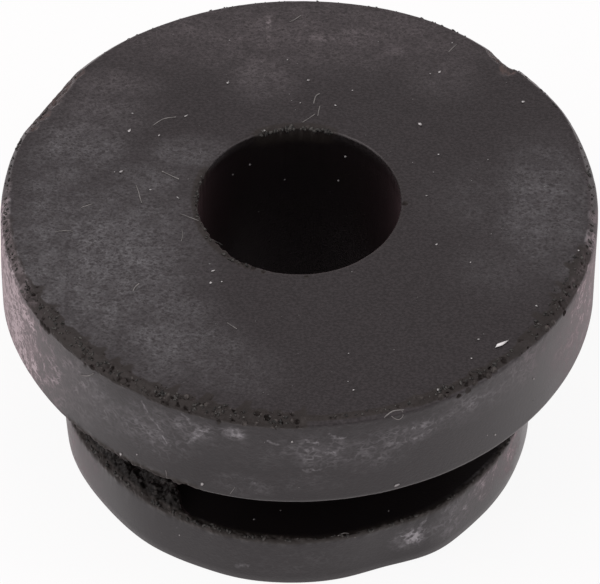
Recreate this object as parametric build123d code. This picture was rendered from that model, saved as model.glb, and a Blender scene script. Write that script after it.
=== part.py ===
"""Anti-vibration cap: a one-piece moulded rubber grommet.

A wide top flange and a smaller lower flange stand either side of a deep groove, and a plain
bore runs straight through. The lower flange's flat face lies on z = 0, the bore runs along Z
and the top flange is uppermost. All sizes are millimetres, and all angles are degrees from +X
towards +Y.
"""
from build123d import *
import math
import os

# Top flange, the damping face that shows
top_flange_diameter = 30.0
top_flange_height = 5.75
rim_wear = 0.42
top_flange_under_radius = 0.1

# Groove that takes the edge of a panel
groove_width = 6.35
core_diameter = 18.0
groove_root_radius = 0.6

# Lower flange, squeezed through the panel's hole
lower_flange_diameter = 24.0
lower_flange_height = 3.3
lower_flange_top_radius = 0.12
lower_flange_foot_radius = 0.12

# Bore, and the peg or bolt that passes through it
peg_diameter = 10.0
peg_clearance = 0.1
bore_lip_radius = 0.25

# Torn web: a wedge of rubber left on the lower flange at one side, leaning on the core
web_start_angle = 188.0
web_end_angle = 243.0
web_end_lean = 45.0
web_height = 2.4
web_crest_width = 0.3
web_setback = 0.15

# Chips bitten out of the top rim by a rounded knock, each at its own place
rear_left_chip_angle = 148.0
rear_left_chip_radius = 30.0
rear_left_chip_bite = 0.32
rear_right_chip_angle = 43.0
rear_right_chip_radius = 3.0
rear_right_chip_bite = 0.12

# Heights and radii that follow
lower_flange_top = lower_flange_height
top_flange_underside = lower_flange_top + groove_width
top_face = top_flange_underside + top_flange_height
top_flange_radius = top_flange_diameter / 2
lower_flange_radius = lower_flange_diameter / 2
core_radius = core_diameter / 2
bore_radius = peg_diameter / 2 + peg_clearance


def rim_circle(solid, radius, height):
    """The circular edge of this radius at this height."""
    def miss(edge):
        return math.hypot(edge.radius - radius, edge.arc_center.Z - height)

    return solid.edges().filter_by(GeomType.CIRCLE).sort_by(miss)[0]


def spool():
    """Both flanges and the core between them, turned from one half section, edges eased."""
    half_section = make_face(
        Polyline(
            (0, 0, 0),
            (lower_flange_radius, 0, 0),
            (lower_flange_radius, 0, lower_flange_top),
            (core_radius, 0, lower_flange_top),
            (core_radius, 0, top_flange_underside),
            (top_flange_radius, 0, top_flange_underside),
            (top_flange_radius, 0, top_face),
            (0, 0, top_face),
            close=True,
        )
    )
    solid = revolve(half_section, Axis.Z)
    rounds = (
        (lower_flange_radius, 0, lower_flange_foot_radius),
        (lower_flange_radius, lower_flange_top, lower_flange_top_radius),
        (core_radius, lower_flange_top, groove_root_radius),
        (core_radius, top_flange_underside, groove_root_radius),
        (top_flange_radius, top_flange_underside, top_flange_under_radius),
    )
    for radius, height, round_radius in rounds:
        solid = fillet(rim_circle(solid, radius, height), round_radius)
    return chamfer(rim_circle(solid, top_flange_radius, top_face), rim_wear)


def torn_web():
    """A wedge part of the way round the groove, its torn end leaning back over it."""
    section = make_face(
        Polyline(
            (bore_radius, 0, lower_flange_height / 2),
            (lower_flange_radius - web_setback, 0, lower_flange_height / 2),
            (lower_flange_radius - web_setback, 0, lower_flange_top),
            (core_radius + web_crest_width, 0, lower_flange_top + web_height),
            (bore_radius, 0, lower_flange_top + web_height),
            close=True,
        )
    )
    sweep = web_end_angle - web_start_angle
    wedge = Rot(0, 0, web_start_angle) * revolve(section, Axis.Z, sweep)
    beyond_end = Rot(web_end_lean - 90, 0, 0) * Box(
        2 * lower_flange_diameter,
        2 * top_face,
        top_face,
        align=(Align.CENTER, Align.CENTER, Align.MIN),
    )
    return wedge - Rot(0, 0, web_end_angle) * Pos(0, 0, lower_flange_top) * beyond_end


def bore():
    """The space of the through bore, from the lower face to the top face."""
    return Cylinder(bore_radius, top_face, align=(Align.CENTER, Align.CENTER, Align.MIN))


def rim_chip(angle, radius, bite):
    """A ball that bites into the worn top rim at one angle."""
    worn_corner = top_flange_radius - rim_wear / 2
    stand_off = (radius - bite) * math.sqrt(0.5)
    ball = Pos(worn_corner + stand_off, 0, top_face - rim_wear / 2 + stand_off) * Sphere(radius)
    return Rot(0, 0, angle) * ball


def rubber_cap():
    """The whole moulding: spool and torn web, bored through and chipped at the rim."""
    cap = spool() + torn_web() - bore()
    mouths = [rim_circle(cap, bore_radius, height) for height in (0, top_face)]
    cap = fillet(mouths, bore_lip_radius)
    cap -= rim_chip(rear_left_chip_angle, rear_left_chip_radius, rear_left_chip_bite)
    cap -= rim_chip(rear_right_chip_angle, rear_right_chip_radius, rear_right_chip_bite)
    return cap


os.makedirs("parts", exist_ok=True)
cap = rubber_cap()
export_step(cap, "parts/rubber_cap.step")
print("rubber_cap", cap.volume, cap.bounding_box())
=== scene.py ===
"""Dresses the anti-vibration cap: one black rubber moulding, dusty, worn and torn at its edges.

Lengths in this script are millimetres until a mesh is made, which is in metres. Angles are
degrees from +X towards +Y, so the photographed side faces 270. A pixel is a column and a row of
the photograph, 600 wide and 584 high.
"""
import logging
import math
import random
from dataclasses import dataclass, field
from enum import Enum
from typing import Callable, Sequence

import bmesh
import bpy
from mathutils import Matrix, Vector, noise
from mathutils.bvhtree import BVHTree


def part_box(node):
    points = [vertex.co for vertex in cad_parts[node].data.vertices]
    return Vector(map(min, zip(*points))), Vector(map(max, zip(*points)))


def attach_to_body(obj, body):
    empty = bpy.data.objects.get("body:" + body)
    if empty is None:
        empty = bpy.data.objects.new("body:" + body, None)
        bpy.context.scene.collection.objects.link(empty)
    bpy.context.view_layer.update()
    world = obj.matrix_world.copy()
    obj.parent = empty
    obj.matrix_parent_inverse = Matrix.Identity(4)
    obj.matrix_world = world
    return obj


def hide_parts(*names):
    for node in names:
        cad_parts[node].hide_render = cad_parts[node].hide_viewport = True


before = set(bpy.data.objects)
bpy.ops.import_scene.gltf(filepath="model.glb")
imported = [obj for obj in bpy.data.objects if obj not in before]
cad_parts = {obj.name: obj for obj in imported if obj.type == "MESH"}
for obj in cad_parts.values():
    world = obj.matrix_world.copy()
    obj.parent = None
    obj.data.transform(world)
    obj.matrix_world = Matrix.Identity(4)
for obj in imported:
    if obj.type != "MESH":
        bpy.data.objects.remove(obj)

LOG = logging.getLogger("rubber_cap")
MM = 0.001
NODE = "rubber_cap"
BODY = "root"

Socket = bpy.types.NodeSocket
Colour = tuple[float, float, float]
Pixel = tuple[float, float]


def smooth_step(low: float, high: float, value: float) -> float:
    """Ease from 0 to 1 as a value passes from one limit to another.

    Args:
        low: Value at which the result leaves 0.
        high: Value at which the result reaches 1; it may lie below low.
        value: The value to place between the two.

    Returns:
        A share from 0 to 1 with no kink at either end.
    """
    share = min(1.0, max(0.0, (value - low) / (high - low)))
    return share * share * (3.0 - 2.0 * share)


def between(start: float, end: float, ease: float, value: float) -> float:
    """Share that is 1 between two limits and eases to 0 outside them.

    Args:
        start: Lower limit.
        end: Upper limit.
        ease: Width of the easing on either side.
        value: The value to judge.

    Returns:
        A share from 0 to 1.
    """
    return smooth_step(start - ease, start, value) * smooth_step(end + ease, end, value)


def clear_selection() -> None:
    """Deselect every object, so that the next operator acts on its own piece alone."""
    if bpy.context.mode != "OBJECT":
        bpy.ops.object.mode_set(mode="OBJECT")
    bpy.ops.object.select_all(action="DESELECT")


def make_active(piece: bpy.types.Object) -> None:
    """Select one object alone and make it the active one.

    Args:
        piece: The object to work on.
    """
    clear_selection()
    piece.select_set(True)
    bpy.context.view_layer.objects.active = piece


def attach(piece: bpy.types.Object, finish: bpy.types.Material) -> None:
    """Give a piece its material and let it ride on the cap's body.

    Args:
        piece: A finished piece, in place.
        finish: The material that covers it.
    """
    piece.data.materials.clear()
    piece.data.materials.append(finish)
    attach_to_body(piece, BODY)


@dataclass(frozen=True)
class CapSizes:
    """Sizes of the moulding, in millimetres; the outer two come from the frame."""

    rim_radius: float
    height: float
    top_flange_height: float = 5.75
    lower_flange_radius: float = 12.0
    lower_flange_height: float = 3.3
    core_radius: float = 9.0
    bore_radius: float = 5.1
    rim_wear: float = 0.42
    under_edge_round: float = 0.08
    root_round: float = 0.6
    ledge_edge_round: float = 0.12
    foot_round: float = 0.08
    lip_round: float = 0.15
    wear_edge_round: float = 0.05
    bevel_round: float = 0.3

    @classmethod
    def from_frame(cls) -> "CapSizes":
        """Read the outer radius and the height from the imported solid's box."""
        low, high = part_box(NODE)
        return cls(rim_radius=(high.x - low.x) / 2 / MM, height=(high.z - low.z) / MM)

    def surface_height(self, radius: float) -> float:
        """Height of the top face or its worn bevel at a radius."""
        return self.height - max(0.0, radius - (self.rim_radius - self.rim_wear))

    @property
    def underside(self) -> float:
        """Height of the top flange's underside."""
        return self.height - self.top_flange_height

    @property
    def ledge(self) -> float:
        """Height of the lower flange's top, where a panel bears."""
        return self.lower_flange_height

    @property
    def groove_width(self) -> float:
        """Clear height between the two flanges."""
        return self.underside - self.ledge


@dataclass(frozen=True)
class PhotoView:
    """The photograph's viewpoint, fitted to the cap's traced edges."""

    target: tuple[float, float, float] = (0.057, 0.0, 8.81)
    distance: float = 300.0
    elevation: float = 46.49
    roll: float = 0.3
    lens: float = 352.6
    sensor: float = 36.0
    frame_width: int = 600
    frame_height: int = 584

    def matrix(self) -> Matrix:
        """Place and turn of the camera, in metres.

        Returns:
            The camera's matrix.
        """
        tilt = math.radians(90.0 - self.elevation)
        turn = Matrix.Rotation(tilt, 4, "X") @ Matrix.Rotation(math.radians(self.roll), 4, "Z")
        back = turn @ Vector((0, 0, self.distance))
        return Matrix.Translation((Vector(self.target) + back) * MM) @ turn

    def ray(self, pixel: Pixel) -> tuple[Vector, Vector]:
        """The line of sight through a pixel of the photograph.

        Args:
            pixel: Column and row.

        Returns:
            The eye's place in millimetres and the direction of the line.
        """
        focal = self.lens / self.sensor * self.frame_width
        right = (pixel[0] + 0.5 - self.frame_width / 2) / focal
        up = (self.frame_height / 2 - pixel[1] - 0.5) / focal
        matrix = self.matrix()
        direction = matrix.to_3x3() @ Vector((right, up, -1.0))
        return matrix.translation / MM, direction.normalized()

    def on_level(self, pixel: Pixel, height: float) -> Vector:
        """Where a pixel's line of sight meets a level plane.

        Args:
            pixel: Column and row.
            height: Height of the plane in millimetres.

        Returns:
            The point, in millimetres.
        """
        eye, direction = self.ray(pixel)
        return eye + direction * ((height - eye.z) / direction.z)

    def on_wall(self, pixel: Pixel, radius: float) -> Vector:
        """Where a pixel's line of sight first meets an upright round wall.

        Args:
            pixel: Column and row.
            radius: Radius of the wall in millimetres.

        Returns:
            The point, in millimetres.
        """
        eye, direction = self.ray(pixel)
        square = direction.x ** 2 + direction.y ** 2
        half = eye.x * direction.x + eye.y * direction.y
        rest = eye.x ** 2 + eye.y ** 2 - radius ** 2
        inner = max(0.0, half * half - square * rest)
        return eye + direction * ((-half - math.sqrt(inner)) / square)

    def add_camera(self) -> None:
        """Make the camera and give it to the scene."""
        clear_selection()
        bpy.ops.object.camera_add()
        camera = bpy.context.active_object
        camera.name = "photo_camera"
        camera.matrix_world = self.matrix()
        camera.data.lens = self.lens
        camera.data.sensor_width = self.sensor
        camera.data.clip_start = 0.01
        camera.data.clip_end = 20.0
        bpy.context.scene.camera = camera


@dataclass(frozen=True)
class Corner:
    """One corner of the turned outline, and how finely the stretch after it is divided."""

    radius: float
    height: float
    easing: float
    turn_rows: int
    rows: int
    even: bool = False

    @property
    def place(self) -> Vector:
        """The corner's point in the plane of radius and height."""
        return Vector((self.radius, self.height))


def outline_points(corners: Sequence[Corner]) -> list[Vector]:
    """Walk a closed outline and round each of its corners.

    Args:
        corners: The outline's corners in order; the last one joins the first.

    Returns:
        Points of radius and height, close together beside the corners.
    """
    points: list[Vector] = []
    count = len(corners)
    for index, corner in enumerate(corners):
        here, after = corner.place, corners[(index + 1) % count]
        arrive = (here - corners[index - 1].place).normalized()
        leave = (after.place - here).normalized()
        turn = math.acos(max(-1.0, min(1.0, arrive.dot(leave))))
        points += round_corner(here, arrive, leave, turn, corner)
        start = here + leave * corner.easing * math.tan(turn / 2)
        onward = (corners[(index + 2) % count].place - after.place).normalized()
        next_turn = math.acos(max(-1.0, min(1.0, leave.dot(onward))))
        end = after.place - leave * after.easing * math.tan(next_turn / 2)
        for row in range(1, corner.rows):
            share = row / corner.rows
            if not corner.even:
                share = 0.5 - 0.5 * math.cos(math.pi * share)
            points.append(start.lerp(end, share))
    return points


def round_corner(
    here: Vector, arrive: Vector, leave: Vector, turn: float, corner: Corner
) -> list[Vector]:
    """Points along the arc that eases one corner.

    Args:
        here: The sharp corner.
        arrive: Direction of the stretch that comes to it.
        leave: Direction of the stretch that leaves it.
        turn: Angle between the two, in radians.
        corner: The corner's easing radius and number of rows.

    Returns:
        The arc's points, both ends included.
    """
    setback = corner.easing * math.tan(turn / 2)
    first = here - arrive * setback
    inward = (leave - arrive * arrive.dot(leave)).normalized()
    centre = first + inward * corner.easing
    arc = []
    for row in range(corner.turn_rows + 1):
        angle = turn * row / corner.turn_rows
        out = arrive * math.sin(angle) - inward * math.cos(angle)
        arc.append(centre + out * corner.easing)
    return arc


@dataclass(frozen=True)
class Place:
    """Where a vertex lies on the cap, in millimetres and degrees."""

    radius: float
    height: float
    angle: float
    point: Vector

    @classmethod
    def of(cls, position: Vector) -> "Place":
        """Read the place of a mesh position.

        Args:
            position: A vertex's or a face's position, in metres.

        Returns:
            The place.
        """
        point = position / MM
        angle = math.degrees(math.atan2(point.y, point.x)) % 360.0
        return cls(math.hypot(point.x, point.y), point.z, angle, point)


@dataclass(frozen=True)
class Ball:
    """A ball that presses the skin out of its way, in millimetres."""

    centre: Vector
    reach: float

    def press(self, point: Vector) -> Vector:
        """Move a point that lies inside the ball out to its surface.

        Args:
            point: Any point.

        Returns:
            The moved point, or the same one where it lies outside.
        """
        away = point - self.centre
        if away.length >= self.reach:
            return point
        return self.centre + away.normalized() * self.reach


@dataclass(frozen=True)
class Chip:
    """A bite out of the top rim, by the ball that leans over the place it bites."""

    angle: float
    reach: float
    bite: float
    inset: float = 0.21
    tilt: float = 45.0

    def ball(self, sizes: CapSizes) -> Ball:
        """The ball of this chip.

        Args:
            sizes: Sizes of the moulding.

        Returns:
            The ball, in place.
        """
        turn, lean = math.radians(self.angle), math.radians(self.tilt)
        stand_off = self.reach - self.bite
        contact = sizes.rim_radius - self.inset
        out = contact + stand_off * math.cos(lean)
        up = sizes.surface_height(contact) + stand_off * math.sin(lean)
        return Ball(Vector((out * math.cos(turn), out * math.sin(turn), up)), self.reach)


class Pit(Enum):
    """Dark pits in the torn rim and nicks in the bore's lip: pixel, reach and depth."""

    LEFT_GAP = ((28.0, 287.0), 0.14, 0.12)
    GASH_TOP = ((39.5, 316.5), 0.2, 0.2)
    GASH_MIDDLE = ((42.8, 320.3), 0.2, 0.2)
    GASH_LOW = ((46.3, 323.8), 0.2, 0.2)
    LEFT_HIGH = ((66.0, 347.0), 0.14, 0.1)
    LEFT_MIDDLE = ((83.0, 358.0), 0.16, 0.12)
    LEFT_LOW = ((90.8, 361.7), 0.17, 0.14)
    LEFT_DEEP = ((123.0, 378.0), 0.18, 0.15)
    LEFT_FRONT = ((166.7, 395.8), 0.17, 0.15)
    LONG_START = ((179.0, 396.2), 0.15, 0.13)
    LONG_MIDDLE = ((186.0, 397.0), 0.15, 0.13)
    LONG_END = ((192.5, 398.2), 0.13, 0.12)
    FRONT_LEFT = ((212.5, 410.8), 0.16, 0.14)
    FRONT_LEFT_LOW = ((218.0, 415.0), 0.16, 0.13)
    FRONT_HIGH = ((244.0, 417.5), 0.17, 0.14)
    FRONT_LOW = ((250.0, 423.0), 0.17, 0.14)
    FRONT_WIDE = ((256.7, 412.5), 0.2, 0.16)
    FRONT_BROWN = ((266.7, 416.0), 0.18, 0.16)
    FRONT_THIN = ((291.7, 418.3), 0.14, 0.12)
    RIGHT_NEAR = ((440.0, 394.0), 0.17, 0.14)
    RIGHT_NEAR_HIGH = ((447.0, 391.5), 0.15, 0.12)
    RIGHT_THIRD = ((459.0, 390.0), 0.15, 0.13)
    RIGHT_FOURTH = ((468.0, 385.0), 0.17, 0.14)
    RIGHT_FIFTH = ((474.0, 379.0), 0.17, 0.15)
    RIGHT_DEEP_LOW = ((488.0, 371.5), 0.19, 0.17)
    RIGHT_DEEP_HIGH = ((493.0, 367.0), 0.2, 0.17)
    RIGHT_SLIT = ((521.0, 361.0), 0.15, 0.13)
    RIGHT_DOT = ((518.0, 351.0), 0.13, 0.12)
    RIGHT_FAR_LOW = ((546.0, 325.0), 0.19, 0.16)
    RIGHT_FAR = ((552.0, 318.5), 0.17, 0.15)
    RIGHT_LAST = ((565.0, 307.0), 0.17, 0.15)
    LIP_NICK_HIGH = ((226.0, 250.0), 0.12, 0.1)
    LIP_NICK_SECOND = ((235.0, 257.0), 0.14, 0.12)
    LIP_NICK_THIRD = ((243.5, 262.5), 0.13, 0.12)
    LIP_NICK_FOURTH = ((253.0, 267.5), 0.14, 0.12)
    LIP_NICK_LOW = ((263.0, 271.0), 0.12, 0.1)
    LIP_LEFT_NOTCH = ((197.5, 205.0), 0.16, 0.14)
    LIP_RIGHT_NOTCH = ((404.5, 203.0), 0.16, 0.14)
    LIP_FRONT_NIB = ((306.0, 276.5), 0.13, 0.12)

    def ball(self, view: PhotoView, sizes: CapSizes) -> Ball:
        """The ball that presses this pit.

        Args:
            view: The photograph's viewpoint.
            sizes: Sizes of the moulding.

        Returns:
            The ball, in place.
        """
        pixel, reach, depth = self.value
        centre = view.on_level(pixel, sizes.height)
        centre.z = sizes.surface_height(math.hypot(centre.x, centre.y)) + reach - depth
        return Ball(centre, reach)


@dataclass(frozen=True)
class Swell:
    """A place where a flange stands out further, or less far, than a true circle."""

    angle: float
    spread: float
    height: float
    tall: float
    out: float

    def share(self, place: Place) -> float:
        """How strongly this swell acts at a place.

        Args:
            place: Where the vertex lies.

        Returns:
            A share from 0 to 1.
        """
        turn = (place.angle - self.angle + 180.0) % 360.0 - 180.0
        rise = (place.height - self.height) / self.tall
        return math.exp(-((turn / self.spread) ** 2) - rise * rise)


@dataclass(frozen=True)
class TornStretch:
    """A torn stretch of the top rim: its ends, how far in and down it goes, how strongly."""

    start: float
    end: float
    inward: float
    down: float
    strength: float


@dataclass(frozen=True)
class WearChange:
    """A stretch of the top rim that is worn more or less than the rest."""

    angle: float
    spread: float
    across: float
    down: float

    def share(self, angle: float) -> float:
        """How strongly this stretch acts at an angle."""
        turn = (angle - self.angle + 180.0) % 360.0 - 180.0
        return math.exp(-((turn / self.spread) ** 2))


class Tear(Enum):
    """Named regions of the moulding that are worn or torn, each a vertex group."""

    SKIN = "skin"
    RIM = "rim"
    LEDGE_EDGE = "ledge_edge"
    UNDER_EDGE = "under_edge"
    WEB = "web"
    WEB_FACE = "web_face"
    LIP = "lip"
    CHIPS = "chips"


@dataclass(frozen=True)
class Roughness:
    """One pass of torn or uneven surface: lumps when it is made of cells, swells otherwise."""

    region: Tear
    grain: float
    depth: float
    cells: bool = False


@dataclass
class RubberCap:
    """The moulding: turned outline, torn web in the groove, worn rim and chips."""

    sizes: CapSizes
    view: PhotoView
    steps: int = 400
    web_start: float = 188.0
    web_end: float = 243.0
    web_end_slant: float = 17.0
    web_height: float = 2.4
    web_foot_setback: float = 0.06
    web_crest_width: float = 0.3
    torn_from: float = 186.0
    torn_to: float = 352.0
    left_chip_spread: float = 11.0
    right_chip_spread: float = 5.0
    crisp_angle: float = 50.0
    full_tear_depth: float = 0.04
    chip_weight_gain: float = 3.0
    merge_distance: float = 0.002
    wear_blend: float = 1.5
    relief_scale: float = 0.1
    bore_shift: float = 0.13
    tear_grain: float = 0.27
    tear_drift: float = 0.13
    tear_seed: int = 5
    pitted: float = 0.42
    pit_depth: float = 0.13
    lumpy: float = 0.72
    lump_rise: float = 0.07
    chips: tuple[Chip, ...] = (
        Chip(angle=150.0, reach=24.0, bite=0.3),
        Chip(angle=45.0, reach=2.6, bite=0.25),
        Chip(angle=42.0, reach=1.1, bite=0.11, inset=0.8, tilt=80.0),
        Chip(angle=158.5, reach=1.0, bite=0.15, inset=0.45, tilt=70.0),
        Chip(angle=154.5, reach=1.1, bite=0.2, inset=0.55, tilt=70.0),
        Chip(angle=150.0, reach=1.0, bite=0.2, inset=0.55, tilt=70.0),
        Chip(angle=146.0, reach=0.9, bite=0.15, inset=0.45, tilt=70.0),
        Chip(angle=141.0, reach=0.9, bite=0.1, inset=0.35, tilt=70.0),
    )
    swells: tuple[Swell, ...] = (
        Swell(angle=190.0, spread=12.0, height=11.0, tall=3.5, out=0.12),
        Swell(angle=258.0, spread=18.0, height=9.65, tall=1.6, out=0.11),
        Swell(angle=30.0, spread=14.0, height=15.4, tall=3.0, out=0.07),
        Swell(angle=57.0, spread=9.0, height=15.4, tall=3.0, out=0.05),
        Swell(angle=8.0, spread=9.0, height=14.0, tall=3.0, out=0.06),
        Swell(angle=197.0, spread=14.0, height=2.2, tall=2.6, out=0.28),
        Swell(angle=231.0, spread=11.0, height=0.3, tall=2.4, out=0.14),
        Swell(angle=256.0, spread=11.0, height=0.5, tall=3.0, out=0.09),
        Swell(angle=291.0, spread=10.0, height=0.8, tall=3.0, out=-0.24),
        Swell(angle=306.0, spread=8.0, height=0.8, tall=3.0, out=0.16),
        Swell(angle=342.0, spread=9.0, height=2.2, tall=2.5, out=-0.07),
    )
    torn_stretches: tuple[TornStretch, ...] = (
        TornStretch(205.0, 233.0, inward=0.28, down=0.5, strength=0.75),
        TornStretch(228.0, 246.0, inward=0.18, down=0.4, strength=0.8),
        TornStretch(243.0, 269.0, inward=0.26, down=0.5, strength=1.0),
        TornStretch(266.0, 296.0, inward=0.03, down=0.14, strength=0.6),
        TornStretch(294.0, 336.0, inward=0.14, down=0.22, strength=0.9),
        TornStretch(318.0, 346.0, inward=0.3, down=0.3, strength=0.7),
        TornStretch(186.0, 207.0, inward=0.1, down=0.3, strength=0.35),
    )
    wear_changes: tuple[WearChange, ...] = (
        WearChange(angle=25.0, spread=9.0, across=-0.22, down=-0.15),
        WearChange(angle=65.0, spread=14.0, across=-0.15, down=-0.12),
        WearChange(angle=128.0, spread=9.0, across=-0.08, down=-0.05),
        WearChange(angle=167.0, spread=7.0, across=-0.1, down=-0.06),
        WearChange(angle=225.0, spread=16.0, across=0.15, down=-0.1),
        WearChange(angle=270.0, spread=34.0, across=0.0, down=-0.17),
        WearChange(angle=318.0, spread=14.0, across=-0.05, down=-0.12),
    )
    passes: tuple[Roughness, ...] = (
        Roughness(Tear.SKIN, grain=2.8, depth=0.03),
        Roughness(Tear.WEB_FACE, grain=0.9, depth=0.5),
        Roughness(Tear.WEB_FACE, grain=0.4, depth=0.34, cells=True),
        Roughness(Tear.WEB_FACE, grain=0.18, depth=0.14, cells=True),
        Roughness(Tear.RIM, grain=0.5, depth=0.1),
        Roughness(Tear.RIM, grain=0.15, depth=0.05, cells=True),
        Roughness(Tear.LEDGE_EDGE, grain=0.7, depth=0.22),
        Roughness(Tear.LEDGE_EDGE, grain=0.28, depth=0.18, cells=True),
        Roughness(Tear.UNDER_EDGE, grain=0.6, depth=0.24),
        Roughness(Tear.UNDER_EDGE, grain=0.24, depth=0.12, cells=True),
        Roughness(Tear.LIP, grain=0.34, depth=0.16, cells=True),
        Roughness(Tear.CHIPS, grain=0.5, depth=0.26),
        Roughness(Tear.CHIPS, grain=0.3, depth=0.16, cells=True),
    )
    piece: bpy.types.Object = field(init=False)
    places: list[Place] = field(init=False)
    tear: list[float] = field(init=False)

    def corners(self) -> list[Corner]:
        """The outline's corners, from the lower mouth of the bore outwards and round.

        Returns:
            The corners in order.
        """
        s = self.sizes
        bevel_radius = s.rim_radius - s.rim_wear
        bevel_height = s.height - s.rim_wear
        return [
            Corner(s.bore_radius, 0.0, s.lip_round, 2, 4),
            Corner(s.lower_flange_radius, 0.0, s.foot_round, 2, 4),
            Corner(s.lower_flange_radius, s.ledge, s.ledge_edge_round, 2, 14, even=True),
            Corner(s.core_radius, s.ledge, s.root_round, 2, 4),
            Corner(s.core_radius, s.underside, s.root_round, 2, 6),
            Corner(s.rim_radius, s.underside, s.under_edge_round, 2, 10),
            Corner(s.rim_radius, bevel_height, s.bevel_round, 3, 3),
            Corner(bevel_radius, s.height, s.wear_edge_round, 1, 15),
            Corner(s.bore_radius, s.height, s.lip_round, 3, 6),
        ]

    def build(self) -> bpy.types.Object:
        """Model the moulding and leave it finished at its place.

        Returns:
            The finished object.
        """
        self.turn_outline()
        self.divide_torn_faces(2)
        self.divide_torn_faces(1)
        self.places = [Place.of(vertex.co) for vertex in self.piece.data.vertices]
        self.weigh_regions()
        self.wear_rim()
        self.shift_bore()
        self.swell_flanges()
        self.raise_web()
        self.bite_chips()
        before = [vertex.co.copy() for vertex in self.piece.data.vertices]
        facing = [vertex.normal.copy() for vertex in self.piece.data.vertices]
        self.pit_rim(facing)
        for number, rough in enumerate(self.passes):
            self.roughen(rough, number)
        self.rest_on_floor()
        self.note("tear", self.tear)
        self.note_relief(before, facing)
        self.smooth()
        return self.piece

    def turn_outline(self) -> None:
        """Draw the outline point by point and spin it once round the bore's axis."""
        points = outline_points(self.corners())
        clear_selection()
        first = points[0]
        bpy.ops.mesh.primitive_plane_add(size=MM, location=(first.x * MM, 0, first.y * MM))
        self.piece = bpy.context.active_object
        self.piece.name = self.piece.data.name = "rubber_moulding"
        bpy.ops.object.transform_apply(location=True, rotation=True, scale=True)
        bpy.ops.object.mode_set(mode="EDIT")
        bpy.ops.mesh.select_all(action="SELECT")
        bpy.ops.mesh.merge(type="CENTER")
        for here, after in zip(points, points[1:] + points[:1]):
            step = ((after.x - here.x) * MM, 0.0, (after.y - here.y) * MM)
            bpy.ops.mesh.extrude_vertices_move(TRANSFORM_OT_translate={"value": step})
        bpy.ops.mesh.select_all(action="SELECT")
        bpy.ops.mesh.remove_doubles(threshold=self.merge_distance * MM)
        bpy.ops.mesh.select_all(action="SELECT")
        bpy.ops.mesh.spin(
            steps=self.steps, angle=math.tau, use_auto_merge=True, center=(0, 0, 0), axis=(0, 0, 1)
        )
        bpy.ops.mesh.select_all(action="SELECT")
        bpy.ops.mesh.remove_doubles(threshold=self.merge_distance * MM)
        bpy.ops.mesh.normals_make_consistent(inside=False)
        bpy.ops.object.mode_set(mode="OBJECT")

    def is_torn(self, place: Place, reach: float) -> bool:
        """Whether a face here is torn finely enough to need more faces.

        Args:
            place: Centre of the face.
            reach: Width of the torn bands, in steps of about a quarter of a millimetre.

        Returns:
            True in the torn bands.
        """
        s = self.sizes
        lip = math.hypot(place.radius - s.bore_radius, place.height - s.height)
        if reach > 1.0 and lip < 0.25 + 0.2 * reach:
            return True
        corner = s.rim_radius - place.radius + s.height - place.height
        at_left_chip = abs(place.angle - self.chips[0].angle) < self.left_chip_spread
        at_right_chip = abs(place.angle - self.chips[1].angle) < self.right_chip_spread
        if (at_left_chip or at_right_chip) and corner < s.rim_wear + 0.3 + 0.3 * reach:
            return True
        if not self.torn_from < place.angle < self.torn_to:
            return False
        near_rim = corner < s.rim_wear + 0.3 * reach
        edge = math.hypot(place.radius - s.lower_flange_radius, place.height - s.ledge)
        near_ledge_edge = edge < 0.25 * reach
        on_ledge = place.radius > s.core_radius and abs(place.height - s.ledge) < 0.05
        in_web = self.web_start - 2 < place.angle < self.web_end + 1.5
        under = math.hypot(place.radius - s.rim_radius, place.height - s.underside)
        ragged = under < 0.25 * reach and place.angle < 262.0
        return near_rim or near_ledge_edge or (on_ledge and in_web) or ragged

    def divide_torn_faces(self, reach: float) -> None:
        """Cut the faces of the torn bands in four, so that they can carry the crumbs.

        Args:
            reach: Width of the bands, in steps of about a quarter of a millimetre.
        """
        make_active(self.piece)
        bpy.ops.object.mode_set(mode="EDIT")
        bpy.ops.mesh.select_mode(type="FACE")
        bpy.ops.mesh.select_all(action="DESELECT")
        mesh = bmesh.from_edit_mesh(self.piece.data)
        for face in mesh.faces:
            face.select = self.is_torn(Place.of(face.calc_center_median()), reach)
        mesh.select_flush_mode()
        bmesh.update_edit_mesh(self.piece.data)
        bpy.ops.mesh.subdivide(number_cuts=1)
        bpy.ops.mesh.select_mode(type="VERT")
        bpy.ops.object.mode_set(mode="OBJECT")

    def slide(self, offset: float, new: float) -> float:
        """Move an offset from the sharp rim so that the worn edge goes to its new place.

        Args:
            offset: Distance from the sharp rim.
            new: Where the worn edge should lie.

        Returns:
            The new distance; past the blend width nothing moves.
        """
        old = self.sizes.rim_wear
        if offset >= self.wear_blend:
            return offset
        if offset <= old:
            return offset * new / old
        return new + (offset - old) * (self.wear_blend - new) / (self.wear_blend - old)

    def wear_rim(self) -> None:
        """Widen or narrow the worn bevel of the top rim from place to place."""
        s = self.sizes
        for vertex in self.piece.data.vertices:
            place = Place.of(vertex.co)
            across = s.rim_radius - place.radius
            down = s.height - place.height
            if max(across, down) > self.wear_blend:
                continue
            shares = [(change, change.share(place.angle)) for change in self.wear_changes]
            wide = s.rim_wear + sum(change.across * share for change, share in shares)
            deep = s.rim_wear + sum(change.down * share for change, share in shares)
            radius = s.rim_radius - self.slide(across, wide)
            height = s.height - self.slide(down, deep)
            scale = radius / place.radius
            vertex.co = Vector((place.point.x * scale, place.point.y * scale, height)) * MM

    def shift_bore(self) -> None:
        """Move the bore's upper mouth a little to the rear, as the moulding has it."""
        s = self.sizes
        for vertex in self.piece.data.vertices:
            place = Place.of(vertex.co)
            near = smooth_step(s.core_radius, s.bore_radius + 0.6, place.radius)
            vertex.co.y += near * smooth_step(2.0, s.height, place.height) * self.bore_shift * MM

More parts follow.
